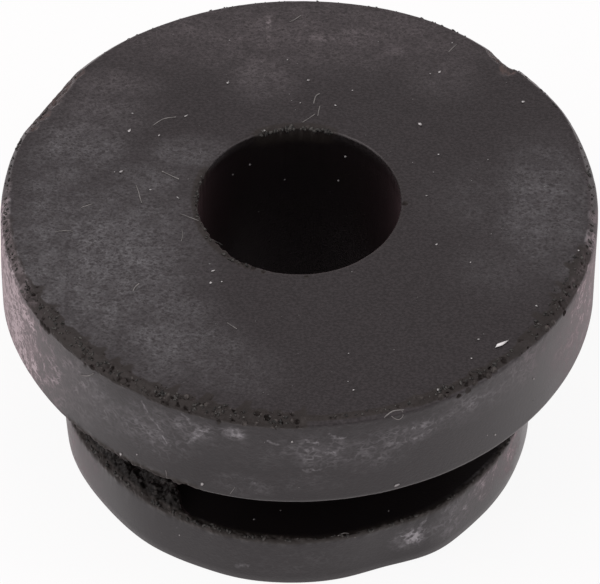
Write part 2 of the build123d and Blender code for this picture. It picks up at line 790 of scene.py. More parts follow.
    def swell_flanges(self) -> None:
        """Push the flanges' walls out and in where they are out of round."""
        s = self.sizes
        for vertex, place in zip(self.piece.data.vertices, self.places):
            outer = smooth_step(s.core_radius, s.lower_flange_radius - 0.5, place.radius)
            if outer > 0.0:
                out = sum(swell.out * swell.share(place) for swell in self.swells)
                scale = 1.0 + out * outer / place.radius
                vertex.co.x *= scale
                vertex.co.y *= scale

    def weigh_regions(self) -> None:
        """Make one vertex group for each torn region, weighed by place."""
        measures: dict[Tear, Callable[[Place], float]] = {
            Tear.SKIN: lambda place: 1.0,
            Tear.RIM: self.rim_weight,
            Tear.LEDGE_EDGE: self.ledge_edge_weight,
            Tear.UNDER_EDGE: self.under_edge_weight,
            Tear.WEB: self.web_weight,
            Tear.WEB_FACE: self.web_face_weight,
            Tear.LIP: self.lip_weight,
        }
        self.tear = [0.0] * len(self.places)
        for region, measure in measures.items():
            weights = [measure(place) for place in self.places]
            self.keep_group(region, weights)
            if region is Tear.WEB_FACE:
                self.note("web_share", weights)
            elif region not in (Tear.SKIN, Tear.WEB):
                self.tear = [max(pair) for pair in zip(self.tear, weights)]

    def keep_group(self, region: Tear, weights: Sequence[float]) -> None:
        """Make the vertex group of one region.

        Args:
            region: The region.
            weights: One weight for each vertex.
        """
        group = self.piece.vertex_groups.new(name=region.value)
        for index, weight in enumerate(weights):
            if weight > 0.0:
                group.add([index], weight, "REPLACE")

    def note(self, name: str, values: list[float]) -> None:
        """Keep one number for each vertex as an attribute that the finish reads.

        Args:
            name: Name of the attribute.
            values: One value for each vertex.
        """
        attribute = self.piece.data.attributes.new(name, "FLOAT", "POINT")
        attribute.data.foreach_set("value", values)

    def note_relief(self, before: list[Vector], facing: list[Vector]) -> None:
        """Keep how far each vertex was raised or sunk by the roughening.

        Args:
            before: Vertex places before the roughening.
            facing: Vertex normals before the roughening.
        """
        span = self.relief_scale * MM
        values = []
        for vertex, start, normal in zip(self.piece.data.vertices, before, facing):
            rise = (vertex.co - start).dot(normal) / span
            values.append(0.5 + 0.5 * max(-1.0, min(1.0, rise)))
        self.note("relief", values)

    def rim_weight(self, place: Place) -> float:
        """How torn the top rim is here, by its torn stretches.

        Args:
            place: Where the vertex lies.

        Returns:
            A share from 0 to 1.
        """
        s = self.sizes
        if place.radius < s.core_radius + 3.0 or place.height < s.height - 1.2:
            return 0.0
        inward = max(0.0, s.rim_radius - s.rim_wear - place.radius)
        down = s.height - place.height
        ragged = max(0.1, 1.0 + 1.5 * noise.noise(place.point * 1.7))
        weight = 0.1 * smooth_step(0.15, 0.0, inward)
        for stretch in self.torn_stretches:
            reach = stretch.inward * ragged
            share = between(stretch.start, stretch.end, 4.0, place.angle) * stretch.strength
            share *= smooth_step(reach + 0.12, reach - 0.03, inward)
            share *= smooth_step(stretch.down + 0.12, stretch.down, down)
            weight = max(weight, share)
        return weight

    def ledge_edge_weight(self, place: Place) -> float:
        """How torn the lower flange's upper edge is here.

        Args:
            place: Where the vertex lies.

        Returns:
            A share from 0 to 1.
        """
        s = self.sizes
        away = math.hypot(place.radius - s.lower_flange_radius, place.height - s.ledge)
        front = max(between(198, 266, 12, place.angle), 0.35 * between(262, 335, 12, place.angle))
        return (0.12 + 0.88 * front) * smooth_step(0.45, 0.08, away)

    def under_edge_weight(self, place: Place) -> float:
        """How ragged the top flange's lower edge is here, most beside the torn web's end.

        Args:
            place: Where the vertex lies.

        Returns:
            A share from 0 to 1.
        """
        s = self.sizes
        away = math.hypot(place.radius - s.rim_radius, place.height - s.underside)
        ragged = between(223, 244, 6, place.angle)
        nibble = between(246, 250, 2, place.angle)
        return (0.04 + 0.96 * max(ragged, nibble)) * smooth_step(0.4, 0.08, away)

    def web_weight(self, place: Place) -> float:
        """Share of the web's full height by which this vertex is raised.

        Args:
            place: Where the vertex lies.

        Returns:
            A share from 0 to 1.
        """
        s = self.sizes
        if not s.ledge - 0.05 < place.height < s.underside - s.root_round:
            return 0.0
        if place.radius > s.lower_flange_radius:
            return 0.0
        foot = s.lower_flange_radius - self.web_foot_setback
        crest = s.core_radius + self.web_crest_width
        slope = min(1.0, max(0.0, (foot - place.radius) / (foot - crest)))
        stack = 1.0 - (place.height - s.ledge) / s.groove_width
        ragged = 1.6 * noise.noise(place.point * 1.3)
        end = self.web_end - self.web_end_slant * slope + ragged
        begin = smooth_step(self.web_start - 3, self.web_start + 4, place.angle)
        return begin * smooth_step(end + 0.9, end - 0.9, place.angle) * slope * stack

    def web_face_weight(self, place: Place) -> float:
        """How rough the web's own face is here.

        Args:
            place: Where the vertex lies.

        Returns:
            A share from 0 to 1.
        """
        if place.radius < self.sizes.core_radius + 0.02:
            return 0.0
        foot = self.sizes.lower_flange_radius
        return smooth_step(0.0, 0.1, self.web_weight(place)) * smooth_step(foot, foot - 0.6, place.radius)

    def lip_weight(self, place: Place) -> float:
        """How ragged the bore's upper lip is here: most at the rear and the front left.

        Args:
            place: Where the vertex lies.

        Returns:
            A share from 0 to 1.
        """
        s = self.sizes
        away = math.hypot(place.radius - s.bore_radius, place.height - s.height)
        rear = between(78, 108, 12, place.angle)
        left = 0.6 * between(160, 200, 8, place.angle)
        front_left = between(205, 236, 12, place.angle)
        return (0.15 + 0.85 * max(rear, left, front_left)) * smooth_step(0.5, 0.1, away)

    def raise_web(self) -> None:
        """Raise the torn web out of the ledge, leaning on the core."""
        make_active(self.piece)
        modifier = self.piece.modifiers.new("raise_web", "DISPLACE")
        modifier.vertex_group = Tear.WEB.value
        modifier.direction = "Z"
        modifier.mid_level = 0.0
        modifier.strength = self.web_height * MM
        bpy.ops.object.modifier_apply(modifier=modifier.name)

    def bite_chips(self) -> None:
        """Press the chips' balls into the rim and keep how deeply each vertex was bitten."""
        balls = [(chip.ball(self.sizes), chip.bite) for chip in self.chips]
        weights = []
        for vertex in self.piece.data.vertices:
            point, weight = vertex.co / MM, 0.0
            for ball, bite in balls:
                moved = ball.press(point)
                weight = max(weight, min(1.0, (moved - point).length / bite))
                point = moved
            if weight > 0.0:
                vertex.co = point * MM
            weights.append(weight)
        self.keep_group(Tear.CHIPS, weights)
        self.note("chip", [min(1.0, weight * self.chip_weight_gain) for weight in weights])
        self.piece.data.update()

    def torn_rise(self, point: Vector) -> float:
        """Height of torn skin over its old level: a pit in some cells, a lump in others.

        Args:
            point: Place on the skin, in millimetres.

        Returns:
            Millimetres, below 0 in a pit.
        """
        drift = noise.noise_vector(point / self.tear_grain) * self.tear_drift
        distances, centres = noise.voronoi((point + drift) / self.tear_grain)
        lot = abs(noise.cell(centres[0] * 17.0))
        reach = 0.4 + 0.45 * abs(noise.cell(centres[0] * 29.0))
        bowl = smooth_step(reach, 0.1, distances[0])
        if lot < self.pitted:
            return -self.pit_depth * bowl
        return self.lump_rise * bowl if lot > self.lumpy else 0.0

    def pit_rim(self, facing: Sequence[Vector]) -> None:
        """Press the named pits, and strew small pits and lumps through the torn rim.

        Args:
            facing: Normal of each vertex.
        """
        s = self.sizes
        noise.seed_set(self.tear_seed)
        balls = [pit.ball(self.view, s) for pit in Pit]
        rows = zip(self.piece.data.vertices, self.places, facing)
        for index, (vertex, place, normal) in enumerate(rows):
            at_lip = place.radius < s.bore_radius + 0.8
            at_rim = place.radius > s.rim_radius - 1.6
            if place.height < s.height - 0.9 or not (at_lip or at_rim):
                continue
            start = vertex.co / MM
            point = start + normal * self.torn_rise(start) * self.rim_weight(place)
            before = point
            for ball in balls:
                point = ball.press(point)
            if point is not before:
                depth = (point - before).length
                self.tear[index] = max(self.tear[index], min(1.0, depth / self.full_tear_depth))
            vertex.co = point * MM
        self.piece.data.update()

    def roughen(self, rough: Roughness, number: int) -> None:
        """Displace one region with a fine noise and apply it.

        Args:
            rough: The region and the noise.
            number: Count of the pass, for its name.
        """
        make_active(self.piece)
        name = f"{rough.region.value}_{number}"
        texture = bpy.data.textures.new(name, "VORONOI" if rough.cells else "CLOUDS")
        texture.noise_scale = rough.grain * MM
        modifier = self.piece.modifiers.new(name, "DISPLACE")
        modifier.texture = texture
        modifier.texture_coords = "LOCAL"
        modifier.vertex_group = rough.region.value
        modifier.strength = rough.depth * MM * (-1.0 if rough.cells else 1.0)
        bpy.ops.object.modifier_apply(modifier=name)
        bpy.data.textures.remove(texture)

    def rest_on_floor(self) -> None:
        """Flatten what the roughening pushed below the lower face."""
        for vertex in self.piece.data.vertices:
            vertex.co.z = max(0.0, vertex.co.z)

    def smooth(self) -> None:
        """Shade the skin smooth and keep its torn edges crisp."""
        make_active(self.piece)
        bpy.ops.object.shade_smooth_by_angle(angle=math.radians(self.crisp_angle))

    def dress(self, finish: bpy.types.Material) -> None:
        """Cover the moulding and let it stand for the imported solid.

        Args:
            finish: The rubber's material.
        """
        attach(self.piece, finish)
        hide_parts(NODE)


class Skin:
    """The finished moulding's surface, for setting small things down on it."""

    def __init__(self, piece: bpy.types.Object, view: PhotoView) -> None:
        """Index the surface once.

        Args:
            piece: The finished moulding.
            view: The photograph's viewpoint.
        """
        self.view = view
        self.tree = BVHTree.FromObject(piece, bpy.context.evaluated_depsgraph_get())

    def hit(self, start: Vector, direction: Vector) -> tuple[Vector, Vector] | None:
        """Where a line from a point first meets the skin.

        Args:
            start: Start of the line, in millimetres.
            direction: Direction of the line.

        Returns:
            The point in millimetres and the surface normal there, or None.
        """
        place, normal, _, _ = self.tree.ray_cast(start * MM, direction.normalized())
        return None if place is None else (place / MM, normal)

    def seen(self, pixel: Pixel) -> tuple[Vector, Vector] | None:
        """Where a pixel's line of sight first meets the skin."""
        return self.hit(*self.view.ray(pixel))

    def near(self, point: Vector) -> tuple[Vector, Vector]:
        """The skin's nearest point to a place, and its normal there."""
        place, normal, _, _ = self.tree.find_nearest(point * MM)
        return place / MM, normal


@dataclass(frozen=True)
class Spot:
    """One grain's seat on the skin, its size and its turn."""

    seat: Vector
    normal: Vector
    length: float
    width: float
    height: float
    turn: float
    sunk: float = 0.25

    def matrix(self) -> Matrix:
        """Place, turn and size of the grain, for a grain modelled one millimetre across.

        Returns:
            The grain's matrix, in metres.
        """
        upright = self.normal.to_track_quat("Z", "Y").to_matrix().to_4x4()
        middle = self.seat + self.normal * self.height * (0.5 - self.sunk)
        spread = Matrix.Diagonal((self.length, self.width, self.height, 1.0))
        return Matrix.Translation(middle * MM) @ upright @ Matrix.Rotation(self.turn, 4, "Z") @ spread


class Mote(Enum):
    """White grains that stand out on the cap: pixel, length, width and turn in degrees."""

    WHITE_FLAKE = ((500.5, 344.0), 0.92, 0.22, 24.0)
    BESIDE_FLAKE = ((478.0, 339.0), 0.14, 0.12, 0.0)
    BELOW_FLAKE = ((471.0, 358.0), 0.11, 0.1, 0.0)
    FRONT_RIGHT = ((437.5, 389.2), 0.16, 0.13, 0.0)
    FRONT_MIDDLE = ((353.0, 389.6), 0.12, 0.1, 0.0)
    FRONT_MIDDLE_SMALL = ((348.0, 353.0), 0.09, 0.08, 0.0)
    FRONT_FAINT = ((347.5, 381.0), 0.08, 0.08, 0.0)
    RIGHT_FRONT = ((536.0, 305.5), 0.15, 0.1, -35.0)
    RIGHT_HIGH = ((578.0, 250.0), 0.12, 0.09, 0.0)
    RIGHT_OF_BORE = ((436.0, 244.0), 0.18, 0.1, 40.0)
    RIGHT_OF_BORE_FAR = ((470.0, 262.0), 0.12, 0.08, 60.0)
    RIGHT_OF_LIP = ((426.0, 195.3), 0.14, 0.09, 0.0)
    RIGHT_OF_LIP_HIGH = ((433.0, 171.7), 0.08, 0.07, 0.0)
    RIGHT_REAR = ((438.0, 154.0), 0.12, 0.09, 0.0)
    REAR_RIGHT_OVAL = ((419.7, 124.0), 0.26, 0.17, -50.0)
    REAR_RIGHT = ((439.0, 71.7), 0.22, 0.13, 35.0)
    REAR_RIGHT_FAINT = ((429.7, 73.3), 0.09, 0.09, 0.0)
    REAR_RIGHT_EDGE = ((451.7, 42.5), 0.1, 0.09, 0.0)
    REAR_RIGHT_DULL = ((522.5, 101.5), 0.2, 0.16, 0.0)
    REAR_MIDDLE = ((307.8, 80.0), 0.18, 0.15, 0.0)
    REAR_LEFT_TWIN = ((227.3, 82.3), 0.24, 0.13, 55.0)
    REAR_HIGH = ((287.0, 59.5), 0.1, 0.09, 0.0)
    REAR_HIGH_LEFT = ((229.0, 40.0), 0.09, 0.08, 0.0)
    REAR_RIGHT_OF_HOOK = ((335.0, 105.0), 0.16, 0.09, -40.0)
    REAR_FAR_RIGHT_OF_HOOK = ((352.0, 90.0), 0.11, 0.09, 0.0)
    BEHIND_LIP = ((299.7, 102.5), 0.09, 0.08, 0.0)
    LEFT_OF_LIP = ((264.0, 130.0), 0.14, 0.09, 0.0)
    LEFT_REAR = ((132.0, 113.0), 0.16, 0.08, -20.0)
    LEFT_COMMA = ((128.8, 130.5), 0.3, 0.15, 50.0)
    LEFT_OF_FIBRE = ((185.5, 115.5), 0.3, 0.1, 25.0)
    LEFT_SMALL = ((158.5, 135.0), 0.18, 0.09, 50.0)
    LEFT_OVAL = ((120.4, 171.4), 0.27, 0.14, 25.0)
    LEFT_FAINT = ((114.0, 171.6), 0.08, 0.08, 0.0)
    LEFT_MIDDLE = ((150.0, 189.3), 0.15, 0.08, -10.0)
    LEFT_INNER = ((177.5, 197.3), 0.24, 0.07, -40.0)
    FRONT_LEFT_DOT = ((210.2, 282.6), 0.15, 0.17, 0.0)
    FRONT_LEFT_DASH = ((212.6, 270.4), 0.3, 0.09, 15.0)
    FRONT_LEFT_TINY = ((221.3, 281.3), 0.1, 0.08, 0.0)
    WALL_LEFT = ((120.5, 453.4), 0.17, 0.15, 0.0)
    WALL_LEFT_SMALL = ((136.5, 454.0), 0.08, 0.08, 0.0)
    WALL_EDGE = ((201.7, 483.2), 0.19, 0.16, 0.0)
    WALL_EDGE_RIGHT = ((396.0, 484.4), 0.34, 0.13, 20.0)
    WALL_RIGHT = ((494.5, 434.0), 0.13, 0.1, 0.0)
    WALL_RIGHT_HIGH = ((533.0, 378.0), 0.16, 0.1, -50.0)
    WALL_MIDDLE = ((291.5, 441.0), 0.12, 0.11, 0.0)
    LOWER_LEFT = ((179.0, 534.5), 0.09, 0.09, 0.0)
    GROOVE_LEFT = ((253.5, 519.0), 0.12, 0.09, 0.0)
    GROOVE_MIDDLE = ((280.0, 510.0), 0.1, 0.08, 0.0)
    GROOVE_RIGHT = ((388.0, 510.5), 0.16, 0.07, 60.0)
    BORE_LEFT = ((249.0, 164.0), 0.15, 0.12, 0.0)
    BORE_FAR_LEFT = ((232.0, 174.0), 0.12, 0.1, 0.0)
    BORE_RIGHT = ((345.0, 156.0), 0.16, 0.12, 0.0)
    BORE_MIDDLE = ((284.0, 179.0), 0.12, 0.1, 0.0)
    BORE_LOW_RIGHT = ((338.0, 180.0), 0.16, 0.1, 30.0)

    @property
    def in_shade(self) -> bool:
        """Whether the grain lies in the bore or the groove, where its grey finish is painted shade."""
        return self.name.startswith(("BORE", "GROOVE"))


class Strand(Enum):
    """Lint fibres that lie on the cap: width in millimetres and the pixels they pass."""

    LONG_LEFT = (0.062, (152.5, 125.2), (160.0, 119.6), (167.0, 117.4), (175.5, 116.8))
    BLOOM_DASH = (0.07, (161.5, 171.0), (168.3, 174.2), (173.0, 176.6), (178.6, 178.8))
    UPRIGHT_LEFT = (0.06, (135.6, 185.0), (138.2, 191.0), (139.2, 197.0), (141.2, 202.5))
    FAR_LEFT_DASH = (0.05, (81.0, 207.2), (86.6, 205.0), (92.0, 203.6))
    BESIDE_LIP = (0.045, (180.0, 213.4), (188.4, 216.6), (198.0, 220.2))
    HOOK_LEFT = (0.075, (132.6, 290.8), (133.6, 286.6), (138.6, 283.4))
    FAINT_FRONT = (0.045, (226.8, 322.4), (231.6, 325.6), (236.4, 328.4))
    REAR_WAVE = (0.06, (289.0, 21.6), (293.4, 20.0), (296.6, 17.4), (300.4, 15.2))
    REAR_HOOK = (0.075, (313.2, 103.2), (314.2, 98.4), (315.8, 94.6), (319.2, 93.4))
    REAR_BROWN = (0.06, (317.4, 115.6), (318.0, 110.6), (319.4, 105.8))
    REAR_BROWN_TAIL = (0.045, (302.0, 121.8), (308.0, 118.4), (314.6, 113.6))
    REAR_RIGHT_STICK = (0.05, (448.2, 51.6), (452.0, 47.4), (456.2, 44.0))
    LEFT_RIM_CURL = (0.07, (80.0, 374.0), (84.6, 375.4), (89.4, 375.0), (93.6, 372.6))
    RIM_ARC = (0.07, (383.6, 417.0), (388.6, 412.4), (394.4, 409.6), (403.4, 409.4))
    RIM_LOOP = (0.05, (391.0, 415.6), (395.0, 419.0), (400.6, 418.4), (403.4, 413.4), (401.0, 409.6))
    LIP_FIBRE = (0.075, (211.6, 239.8), (216.0, 241.2), (221.6, 244.6))
    LEFT_EDGE_FIBRE = (0.05, (54.6, 231.6), (63.4, 229.6), (72.6, 231.0))
    LEFT_FAINT_ARC = (0.04, (181.4, 229.6), (183.4, 235.4), (180.6, 240.6))
    SIDE_UPRIGHT = (0.05, (165.4, 469.6), (166.2, 473.4), (166.6, 477.6))
    LEDGE_CURL = (0.06, (337.4, 535.4), (341.6, 532.6), (348.4, 532.8), (354.8, 536.8))
    WALL_CURL = (0.04, (229.4, 493.4), (232.6, 489.6), (234.6, 486.4))


class DarkStrand(Enum):
    """Torn shreds of dark rubber along the rim: width and the pixels they pass."""

    LEFT_STRAND = (0.09, (25.4, 280.4), (26.8, 285.0), (28.8, 290.0), (31.4, 295.0))
    LEFT_CURL = (0.07, (31.8, 297.6), (34.6, 300.4), (38.0, 299.8), (37.2, 296.4))
    FRONT_SHRED = (0.07, (268.6, 421.4), (272.4, 425.4), (275.6, 428.8))
    RIGHT_SHRED = (0.08, (471.0, 371.2), (476.6, 372.2), (482.4, 371.6))


@dataclass
class Grains:
    """Small grains of one kind, modelled once and copied to their spots."""

    name: str
    seed: int
    unevenness: float = 0.16

    def model_grain(self) -> bpy.types.Object:
        """Make one uneven grain of a millimetre across.

        Returns:
            The grain, to be copied.
        """
        clear_selection()
        bpy.ops.mesh.primitive_ico_sphere_add(subdivisions=1, radius=0.5 * MM)
        grain = bpy.context.active_object
        bpy.ops.object.mode_set(mode="EDIT")
        bpy.ops.mesh.select_all(action="SELECT")
        bpy.ops.transform.vertex_random(offset=self.unevenness * MM, uniform=1.0, seed=self.seed)
        bpy.ops.mesh.normals_make_consistent(inside=False)
        bpy.ops.object.mode_set(mode="OBJECT")
        return grain

    def strew(self, spots: Sequence[Spot]) -> bpy.types.Object:
        """Copy the grain to every spot and gather the copies in one piece.

        Args:
            spots: The grains' seats and sizes.

        Returns:
            The gathered piece.
        """
        grain = self.model_grain()
        gathered = bmesh.new()
        for spot in spots:
            copy = grain.data.copy()
            copy.transform(spot.matrix())
            gathered.from_mesh(copy)
            bpy.data.meshes.remove(copy)
        gathered.to_mesh(grain.data)
        gathered.free()
        grain.name = grain.data.name = self.name
        make_active(grain)
        bpy.ops.object.shade_smooth()
        return grain


@dataclass
class Dust:
    """White motes seen in the photograph, and finer ones strewn between them."""

    skin: Skin
    sizes: CapSizes
    fine_count: int = 170
    smallest: float = 0.03
    size_range: float = 0.04
    flatness: float = 0.6
    share_on_top: float = 0.62
    seed: int = 7

    def named_spots(self, in_shade: bool) -> list[Spot]:
        """Seats of the motes that the photograph shows one by one.

        Args:
            in_shade: Whether to seat those in the bore and the groove, or the others.

        Returns:
            One spot for each mote whose line of sight meets the skin.
        """
        spots = []
        for mote in Mote:
            if mote.in_shade is not in_shade:
                continue
            pixel, length, width, degrees = mote.value
            found = self.skin.seen(pixel)
            if found is None:
                continue
            seat, normal = found
            turn = self.turn_towards(seat, normal, pixel, degrees)
            height = self.flatness * min(length, width)
            spots.append(Spot(seat, normal, length, width, height, turn))
        return spots

    def turn_towards(self, seat: Vector, normal: Vector, pixel: Pixel, degrees: float) -> float:
        """Turn about the normal that makes a grain point along a line of the photograph.

        Args:
            seat: The grain's seat.
            normal: Surface normal there.
            pixel: The grain's pixel.
            degrees: Angle of the line in the photograph, from rightwards to upwards.

        Returns:
            The turn, in radians.
        """
        reach = 3.0
        angle = math.radians(degrees)
        ahead = (pixel[0] + reach * math.cos(angle), pixel[1] - reach * math.sin(angle))
        eye, direction = self.skin.view.ray(ahead)
        distance = (seat - eye).dot(normal) / direction.dot(normal)
        line = eye + direction * distance - seat
        upright = normal.to_track_quat("Z", "Y").to_matrix().inverted()
        local = upright @ line
        return math.atan2(local.y, local.x)

    def fine_spots(self) -> list[Spot]:
        """Seats of fine motes strewn over the upward faces and the walls.

        Returns:
            As many spots as the fine count says.
        """
        chance = random.Random(self.seed)
        spots: list[Spot] = []
        while len(spots) < self.fine_count:
            found = self.random_hit(chance)
            if found is None:
                continue
            seat, normal = found
            size = self.smallest + self.size_range * chance.random() ** 3
            turn = chance.uniform(0.0, math.tau)
            stretch = chance.uniform(0.8, 1.9)
            spots.append(Spot(seat, normal, size * stretch, size, size * self.flatness, turn))
        return spots

    def random_hit(self, chance: random.Random) -> tuple[Vector, Vector] | None:
        """A random place on the top face or on a wall.

        Args:
            chance: The seeded source of numbers.

        Returns:
            The place and its normal, or None where the line misses.
        """
        s = self.sizes
        angle = chance.uniform(0.0, math.tau)
        out = Vector((math.cos(angle), math.sin(angle), 0.0))
        if chance.random() < self.share_on_top:
            radius = math.sqrt(chance.uniform(s.bore_radius ** 2, s.rim_radius ** 2))
            return self.skin.hit(out * radius + Vector((0, 0, s.height + 2)), Vector((0, 0, -1)))
        height = chance.uniform(0.2, s.height - 0.5)
        start = out * (s.rim_radius + 2) + Vector((0, 0, height))
        return self.skin.hit(start, -out)

    def build(
        self, flake: bpy.types.Material, mote: bpy.types.Material, speck: bpy.types.Material
    ) -> list[bpy.types.Object]:
        """Set down the white flake, the named motes and the fine ones.

        Args:
            flake: Finish of the flake.
            mote: Finish of the named motes.
            speck: Finish of the fine motes, and of the motes in the bore and the groove, whose grey there
                is painted shade.

        Returns:
            The three pieces.
        """
        named = self.named_spots(in_shade=False)
        rows = (
            ("white_flake", named[:1], flake),
            ("dust_motes", named[1:], mote),
            # The motes in the bore and the groove take the grey finish: painted shade there.
            ("dust_specks", self.named_spots(in_shade=True) + self.fine_spots(), speck),
        )
        pieces = []
        for name, spots, finish in rows:
            piece = Grains(name, self.seed).strew(spots)
            attach(piece, finish)
            pieces.append(piece)
        return pieces


@dataclass
class Lint:
    """Thin fibres that cling to the cap."""

    skin: Skin
    name: str
    strands: Sequence[Enum]
    lift: float = 0.25
    thinning: float = 0.85
    fewest_seats: int = 3

    def lay_strand(self, strand: Enum) -> bpy.types.Object | None:
        """Lay one fibre along its pixels and make it a mesh.

        Args:
            strand: The fibre.

        Returns:
            The fibre, or None if too few of its pixels meet the skin.
        """
        width, *pixels = strand.value
        width *= self.thinning
        found = [self.skin.seen(pixel) for pixel in pixels]
        seats = [place + normal * width * self.lift for place, normal in filter(None, found)]
        if len(seats) < self.fewest_seats:
            return None
        curve = bpy.data.curves.new(strand.name.lower(), "CURVE")
        curve.dimensions = "3D"
        spline = curve.splines.new("NURBS")
        spline.points.add(len(seats) - 1)
        for point, seat in zip(spline.points, seats):
            point.co = (*(seat * MM), 1.0)
        spline.order_u = 3
        spline.use_endpoint_u = True
        curve.resolution_u = 5
        curve.bevel_depth = width / 2 * MM
        curve.bevel_resolution = 1
        curve.use_fill_caps = True
        piece = bpy.data.objects.new(curve.name, curve)
        bpy.context.scene.collection.objects.link(piece)
        make_active(piece)
        bpy.ops.object.convert(target="MESH")
        return bpy.context.view_layer.objects.active

    def build(self, finish: bpy.types.Material) -> bpy.types.Object:
        """Lay every fibre and join them in one piece.

        Args:
            finish: Their material.

        Returns:
            The piece.
        """
        strands = [piece for piece in map(self.lay_strand, self.strands) if piece is not None]
        clear_selection()
        for strand in strands:
            strand.select_set(True)
        bpy.context.view_layer.objects.active = strands[0]
        bpy.ops.object.join()
        piece = bpy.context.view_layer.objects.active
        piece.name = piece.data.name = self.name
        bpy.ops.object.shade_smooth()
        attach(piece, finish)
        return piece


@dataclass(frozen=True)
class CrumbBand:
    """A stretch of torn edge that loose crumbs cling to."""

    radius: float
    height: float
    start: float
    end: float
    count: int
    spread: float
    size: float


@dataclass
class Crumbs:
    """Crumbs of torn rubber along the edges."""

    skin: Skin
    sizes: CapSizes
    flatness: float = 0.8
    seed: int = 19

    def bands(self) -> list[CrumbBand]:
        """The stretches that carry crumbs.

        Returns:
            One band for each stretch.
        """
        s = self.sizes
        edge = s.rim_radius - 0.2
        return [
            CrumbBand(edge - 0.2, s.height - 0.1, 209, 234, 70, 0.4, 0.09),
            CrumbBand(edge - 0.1, s.height - 0.12, 236, 270, 90, 0.36, 0.09),
            CrumbBand(edge - 0.1, s.height, 270, 296, 20, 0.12, 0.07),
            CrumbBand(edge - 0.2, s.height, 296, 322, 36, 0.16, 0.09),
            CrumbBand(edge - 0.3, s.height, 320, 346, 60, 0.36, 0.09),
            CrumbBand(edge, s.height - 0.1, 346, 372, 30, 0.2, 0.09),
            CrumbBand(edge, s.height - 0.1, 12, 150, 50, 0.16, 0.07),
            CrumbBand(edge, s.height - 0.15, 150, 207, 80, 0.25, 0.085),
            CrumbBand(s.lower_flange_radius - 0.03, s.ledge, 204, 262, 60, 0.12, 0.12),
            CrumbBand(s.lower_flange_radius - 0.05, s.ledge, 262, 335, 40, 0.1, 0.1),
            CrumbBand(s.rim_radius - 0.12, s.underside, 222, 250, 40, 0.1, 0.1),
            CrumbBand(s.bore_radius + 0.1, s.height - 0.05, 72, 112, 42, 0.14, 0.13),
            CrumbBand(s.bore_radius + 0.1, s.height - 0.05, 160, 240, 40, 0.16, 0.1),
        ]

    def spots_of(self, band: CrumbBand, chance: random.Random) -> list[Spot]:
        """Seats of one band's crumbs.

        Args:
            band: The stretch.
            chance: The seeded source of numbers.

        Returns:
            One spot for each crumb.
        """
        spots = []
        for _ in range(band.count):
            angle = math.radians(chance.uniform(band.start, band.end))
            out = Vector((math.cos(angle), math.sin(angle), 0.0))
            place = out * (band.radius + chance.gauss(0.0, band.spread * 0.5))
            place.z = band.height + chance.gauss(0.0, band.spread * 0.3)
            seat, normal = self.skin.near(place)
            size = band.size * chance.uniform(0.45, 1.5)
            length = size * chance.uniform(1.0, 2.2)
            turn = chance.uniform(0.0, math.tau)
            spots.append(Spot(seat, normal, length, size, size * self.flatness, turn))
        return spots

    def build(self, finish: bpy.types.Material) -> bpy.types.Object:
        """Set down the crumbs of every band.

        Args:
            finish: Their material.

        Returns:
            The piece.
        """
        chance = random.Random(self.seed)
        spots = [spot for band in self.bands() for spot in self.spots_of(band, chance)]
        piece = Grains("torn_crumbs", self.seed).strew(spots)
        attach(piece, finish)
        return piece


@dataclass(frozen=True)
class Pattern:
    """Marks cut from a noise: its grain size in millimetres, its kind, and the limits of the cut."""

    size: float
    detail: float
    roughness: float
    shift: float
    low: float
    high: float
    stretch: tuple[float, float, float] = (1.0, 1.0, 1.0)


@dataclass(frozen=True)
class Curl:
    """Thin curling lines: size of a curl in millimetres, pattern offset and half width."""

    size: float
    shift: float
    width: float


